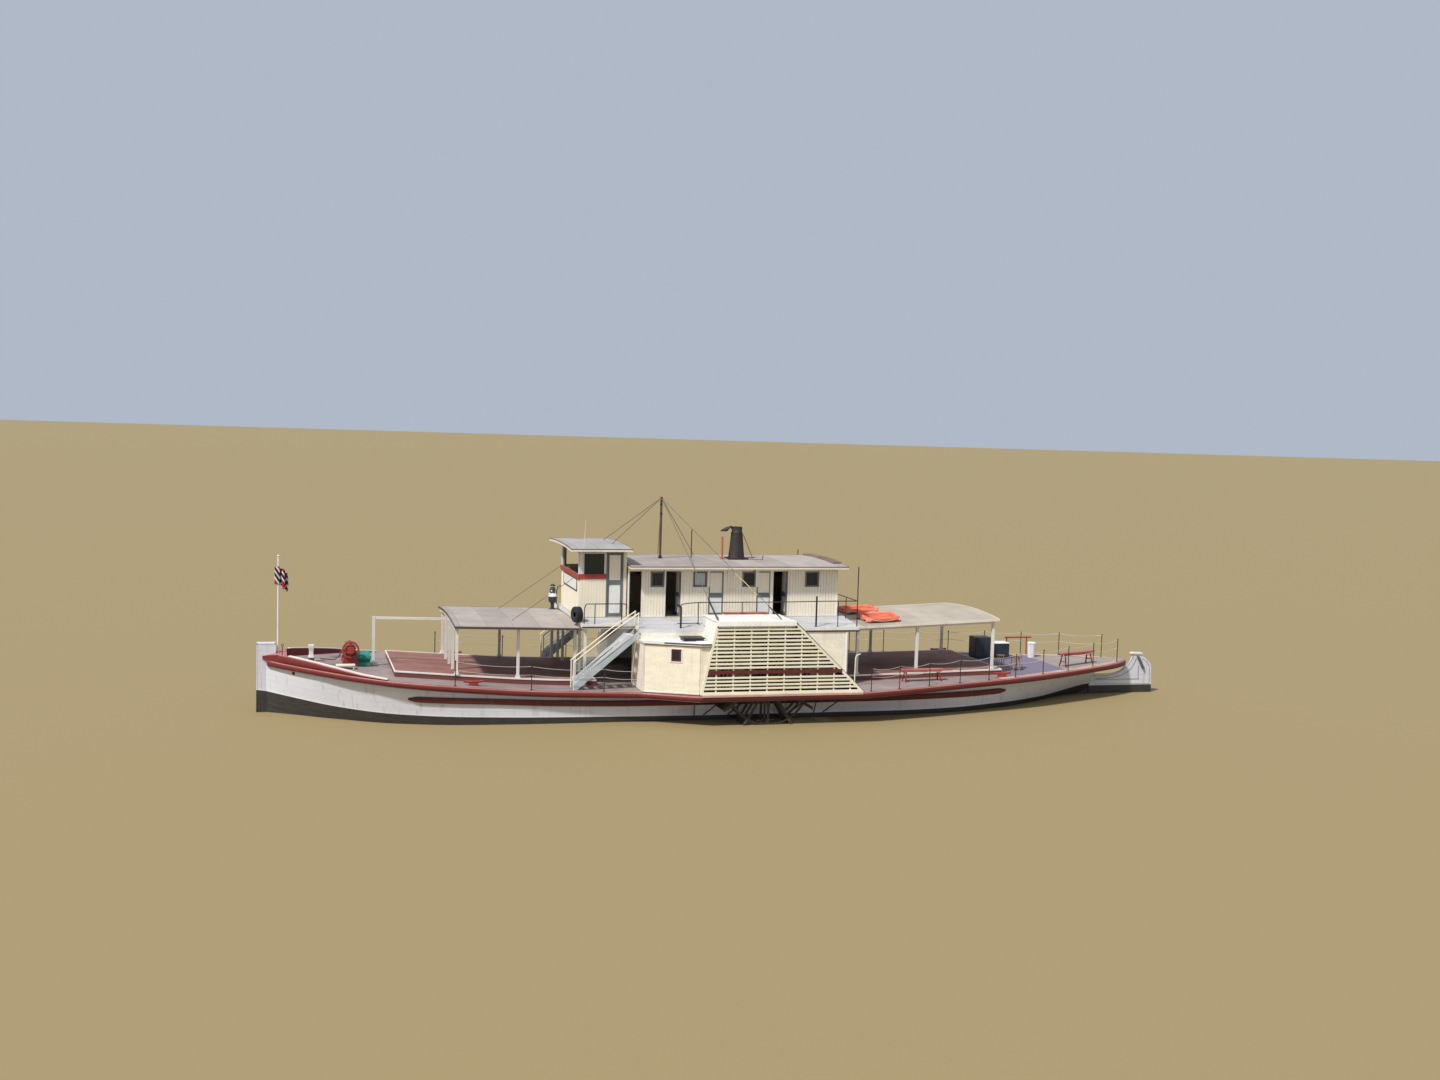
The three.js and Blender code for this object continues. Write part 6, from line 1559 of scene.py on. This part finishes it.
# Rudder: a broad plank blade on its stock, white above a black foot, outlined in grey-blue, with a
# scroll cap at its head and a grey roller for the steering chain.
rudder_blue = painted("rudder_line_blue", "7d8793", "97a0aa", wear=0.04)
roller_grey = painted("roller_grey", "55595e", "6b6f73", wear=0.08)
AFT_CURVE = [(35.32, 0.0), (35.30, 0.60), (35.28, 1.08), (35.18, 1.28), (34.89, 1.47), (34.77, 1.57)]
FORE_CURVE = [(34.37, 1.58), (34.40, 1.50), (34.33, 1.26), (34.07, 0.98), (33.67, 0.82), (33.2, 0.78),
              (32.5, 0.80)]
BLADE = [(32.5, -0.9), (35.32, -0.9)] + eased(AFT_CURVE, 2) + eased(FORE_CURVE, 2)
RUDDER_LINE = 0.32
OUTLINES = [
    ([(32.75, 0.56), (34.74, 0.55)], 0.03), ([(34.70, 0.56), (34.69, 1.10)], 0.03),
    (eased([(32.75, 0.60), (33.45, 0.62), (33.95, 0.70), (34.32, 0.94), (34.50, 1.20), (34.58, 1.42)]),
     0.03),
    (eased([(32.7, 0.70), (33.31, 0.70), (33.85, 0.84), (34.17, 1.10), (34.36, 1.34), (34.43, 1.50)]),
     0.022),
    ([(34.97, 0.36), (34.97, 1.05)], 0.014), ([(32.75, 0.37), (35.20, 0.36)], 0.018),
    (eased([(35.21, 0.34), (35.20, 1.05), (35.10, 1.22), (34.86, 1.39)]), 0.022),
]
blade = piece("rudder_blade", [plate(BLADE, (-0.05, 0.05)), post(32.5, 0, -0.9, 1.06, 0.07, 20)],
              hull_paint, "hull_white", body="rudder", bevel=0.006)
layer = blade.data.attributes.new("above_line", "FLOAT", "POINT")
layer.data.foreach_set("value", [point.co.z - RUDDER_LINE for point in blade.data.vertices])
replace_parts(blade, "rudder")
cap = [(34.32, 1.575), (34.84, 1.555), (34.86, 1.60), (34.80, 1.64), (34.42, 1.66), (34.30, 1.63)]
piece("rudder_scroll_cap", [plate(cap, (-0.085, 0.085))], joinery_white, "white", body="rudder",
      bevel=0.012)


def line_strip(path, wide, side):
    """A thin raised line on the blade along distance and height pairs"""
    rows = []
    for i, (d, z) in enumerate(path):
        (d0, z0), (d1, z1) = path[max(i - 1, 0)], path[min(i + 1, len(path) - 1)]
        run = Vector((d1 - d0, z1 - z0)).normalized()
        across = Vector((-run.y, run.x)) * wide / 2
        rows.append([(aft(d + s * across.x), side * y, z + s * across.y)
                     for s, y in quad(-1, 1, 0.049, 0.056)])
    return strip(rows)


outlines, rollers = [], []
for side in (-1, 1):
    outlines += [line_strip(path, wide, side) for path, wide in OUTLINES]
    rollers += [pipe([(34.64, 0.105, 1.46), (34.88, 0.105, 1.01)], 0.055, 20, side),
                pipe([(34.62, 0.105, 1.49), (34.90, 0.105, 0.98)], 0.018, 10, side)]
    rollers += [box((d - 0.02, d + 0.02), (0.045, 0.13), (z - 0.02, z + 0.02), side)
                for d, z in ((34.615, 1.485), (34.905, 0.985))]
piece("rudder_outlines", outlines, rudder_blue, "grey_steel", body="rudder")
piece("rudder_chain_rollers", rollers, roller_grey, "grey_steel", body="rudder", smooth=50)

# Paddle shaft and wheels: a forged shaft, three iron hoops and rows of flat iron arms to a wheel,
# and twelve plank floats bolted across them; all dark and wet, and the timber floats are painted
# near-black as painted shade inside the boxes.
wheel_iron = painted("wheel_iron", "231f1d", "3a302a", bare="5b3a28", rough=0.55, wear=0.14)
# The floats' timber is near-black: wet wood, darkened further as painted shade inside the boxes.
float_wood_shaded = painted("float_board_painted_shade", "3b312a", "51443a", bare="6b5a4a", rough=0.7, wear=0.15)
WHEEL, WHEEL_Z = 17.4, 1.5
HOOPS_Y, HOOP_REACH, FLOATS_Y = (3.74, 4.18, 4.62), 1.5, 4.18


def cross_bar(y0, y1, radius, sides):
    """A round bar across the boat on the wheels' axis"""
    return pipe([(WHEEL, y0, WHEEL_Z), (WHEEL, y1, WHEEL_Z)], radius, sides)


def spoke(angle, reach, y, step=0.0):
    """A point out along a spoke, a step to one side of it"""
    return (aft(WHEEL) + reach * math.sin(angle) + step * math.cos(angle), y,
            WHEEL_Z + reach * math.cos(angle) - step * math.sin(angle))


shaft = [cross_bar(-4.84, 4.84, 0.11, 28)] + [cross_bar(y, y + 0.07, 0.17, 28)
                                              for y in (-2.0, -0.6, 0.53, 1.93)]
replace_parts(piece("paddle_shaft_forged", shaft, wheel_iron, "black_steel", body="paddles", smooth=40),
            "paddle_shaft")
for port, side in SIDES:
    arms, boards, hoops = [], [], []
    for a in around(12):
        arms += [(spoke(a, 1.02, side * y), (0.09, 0.028, 1.66), (0, a, 0)) for y in HOOPS_Y]
        boards += [(spoke(a, reach, side * FLOATS_Y, 0.03), (0.042, 1.03, 0.20), (0, a, 0))
                   for reach in (1.615, 1.825)]
        boards += [(spoke(a, 1.72, side * y, -0.03), (0.05, 0.10, 0.36), (0, a, 0)) for y in HOOPS_Y]
    for y in HOOPS_Y:
        hoops += [hoop([[spoke(a, HOOP_REACH + u, side * y + w)
                         for u, w in quad(-0.035, 0.035, -0.018, 0.018)]
                        for a in around(72)]), cross_bar(side * (y - 0.04), side * (y + 0.04), 0.26, 32)]
    lay("paddle_arms_" + port, arms, wheel_iron, "black_steel", body="paddles", bevel=0.003)
    floats_piece = lay("paddle_floats_" + port, boards, float_wood_shaded, "black_steel", body="paddles",
                       bevel=0.004)
    piece("paddle_hoops_" + port, hoops, wheel_iron, "black_steel", body="paddles", smooth=40)
    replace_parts(floats_piece, "paddle_wheel_" + port)
boiler_black = painted("boiler_black", "26221f", "38322e", bare="5a4334", rough=0.55, wear=0.12,
                       streaks=0.25)
dress("boiler_and_engine", boiler_black)

# Things that stand about the decks and belong to the boat: lockers, a bin, stools, red cleats and a
# hand rail aft, a searchlight and a tyre fender forward.
locker_dark = painted("locker_dark", "20262e", "2f3740", bare="56585a", wear=0.06)
bin_white = painted("bin_white", "dfe0e2", "eeeeef", rough=0.35, wear=0.03, grain=2.0)
stool_wood = painted("stool_wood", "a5805c", "b9966f", bare="d2b894", wear=0.08, grain=2.5)
tyre_black = painted("tyre_black", "1c1c1e", "2b2b2c", bare="5c5a57", rough=0.75, wear=0.12, grain=3.0)
lamp_white = painted("lamp_white", "d7dadd", "e8eaec", rough=0.35, wear=0.03, grain=2.0)
lockers = []
for d0, d1, y0, y1, high in ((27.98, 28.69, 1.24, 1.85, 2.14), (28.80, 29.41, 1.06, 1.62, 1.90)):
    foot, middle = deck_top(d0) + 0.002, (d0 + d1) / 2
    lockers += [box((d0 + 0.02, d1 - 0.02), (y0 + 0.02, y1 - 0.02), (foot, foot + 0.06)),
                box((d0, d1), (y0, y1), (foot + 0.06, high))]
    lockers += [box(d, (y0 - 0.012, y0 + 0.001), (foot + 0.1, high - 0.05))
                for d in ((d0 + 0.03, middle - 0.01), (middle + 0.01, d1 - 0.03))]
piece("deck_lockers", lockers, locker_dark, "black_steel", bevel=0.012)
piece("deck_locker_top", [box((28.78, 29.43), (1.04, 1.64), (1.90, 1.935))], bin_white, "white", bevel=0.01)
pail = [(0, 1.302), (0.13, 1.302), (0.165, 1.86), (0.18, 1.865), (0.18, 1.90), (0.172, 1.90),
        (0.12, 1.93), (0, 1.935)]
piece("deck_bin", [lathe(pail, 30.5, 1.26, 28)], bin_white, "white", smooth=50)
stools, stool_seats = [], []
for d, y, high in ((27.80, -1.5, 1.86), (28.30, -1.75, 1.88), (28.62, -1.35, 1.86)):
    foot = deck_top(d) + 0.002
    for a in around(4, math.pi / 4):
        low, top, bar, after = (
            (d + r * math.cos(turn), y + r * math.sin(turn), z) for r, turn, z in (
                (0.19, a, foot), (0.11, a, high - 0.03), (0.155, a, foot + 0.2),
                (0.155, a + math.pi / 2, foot + 0.2)))
        stools += [pipe([low, top], 0.018), pipe([bar, after], 0.012, 6)]
    disc = [(0, high - 0.035), (0.15, high - 0.035), (0.17, high - 0.018), (0.165, high), (0, high + 0.002)]
    stool_seats.append(lathe(disc, d, y, 24))
piece("deck_stool_legs", stools, stool_wood, "timber", smooth=50)
piece("deck_stool_seats", stool_seats, stool_wood, "timber", smooth=50)
red_bits = [bent([(29.62, 1.93, 2.03), (30.0, 1.93, 2.03), (30.80, 1.93, 2.03)], 0.032)]
red_bits += [post(d, 1.93, deck_top(d), 2.03, 0.028) for d in (30.6, 29.7)]
for side in (-1, 1):
    for d, y in ((7.19, 3.30), (27.15, 3.02)):
        foot = deck_top(d)
        red_bits += [box((d - 0.16, d + 0.16), (y - 0.05, y + 0.05), (foot, foot + 0.12), side),
                     pipe([(d + step, y, foot + high) for step, high in (
                         (-0.34, 0.165), (-0.22, 0.145), (0.22, 0.145), (0.34, 0.165))], 0.042, 12, side)]
piece("red_cleats_and_rail", red_bits, windlass_red, "red_trim", smooth=50)
LAMP = (10.76, 1.90)
lamp_foot = [(0, 3.302), (0.15, 3.306), (0.15, 3.33), (0.07, 3.36), (0.07, 3.56), (0.13, 3.59),
             (0.155, 3.64), (0.155, 3.805), (0.0, 3.81)]
lamp_head = [(0, 3.93), (0.105, 3.932), (0.108, 4.09), (0.075, 4.13), (0.072, 4.17), (0.10, 4.175),
             (0.10, 4.205), (0.085, 4.23), (0.05, 4.275), (0, 4.285)]
lamp_collar = [(0, 3.806), (0.168, 3.808), (0.168, 3.84), (0.128, 3.935), (0, 3.937)]
lamp_band = [(0, 4.174), (0.104, 4.176), (0.104, 4.19), (0, 4.192)]
dark_parts, white_parts = ([lathe(profile, *LAMP, 32) for profile in pair] for pair in (
    (lamp_foot, lamp_head), (lamp_collar, lamp_band)))
white_parts.append(pipe([(LAMP[0] - 0.05, LAMP[1] - 0.085, 4.03),
                         (LAMP[0] - 0.062, LAMP[1] - 0.107, 4.03)], 0.03, 16))
piece("searchlight_body", dark_parts, locker_dark, "black_steel", smooth=40)
piece("searchlight_collar", white_parts, lamp_white, "white", smooth=40)
TYRE = Vector((aft(10.90), -2.42, 3.675))
TREAD = [(-0.105, -0.095), (-0.03, -0.125), (0.05, -0.125), (0.085, -0.105), (0.098, -0.05), (0.098, 0.05),
         (0.085, 0.105), (0.05, 0.125), (-0.03, 0.125), (-0.105, 0.095), (-0.09, 0.075), (0.06, 0.085),
         (0.06, -0.085), (-0.09, -0.075)]
axle = Vector((-0.95, -0.30, 0.0)).normalized()
first = axle.cross(up(1)).normalized()
second = axle.cross(first)
tyre = hoop([[TYRE + (first * math.cos(a) + second * math.sin(a)) * (0.19 + u) + axle * w for u, w in TREAD]
             for a in around(48)])
piece("tyre_fender", [tyre], tyre_black, "black_steel", smooth=40)
knot = [tube([TYRE + up(0.19 + 0.1 * math.cos(a)) + axle * 0.1 * math.sin(a)
              for a in evenly(0, 2 * math.pi, 12)], 0.016),
        tube([TYRE + up(0.27), TYRE + Vector((0.02, 0.03, 0.36))], 0, swell=(0.035, 0.02))]
piece("tyre_lashing", knot, rope_pale, "cream", smooth=60)
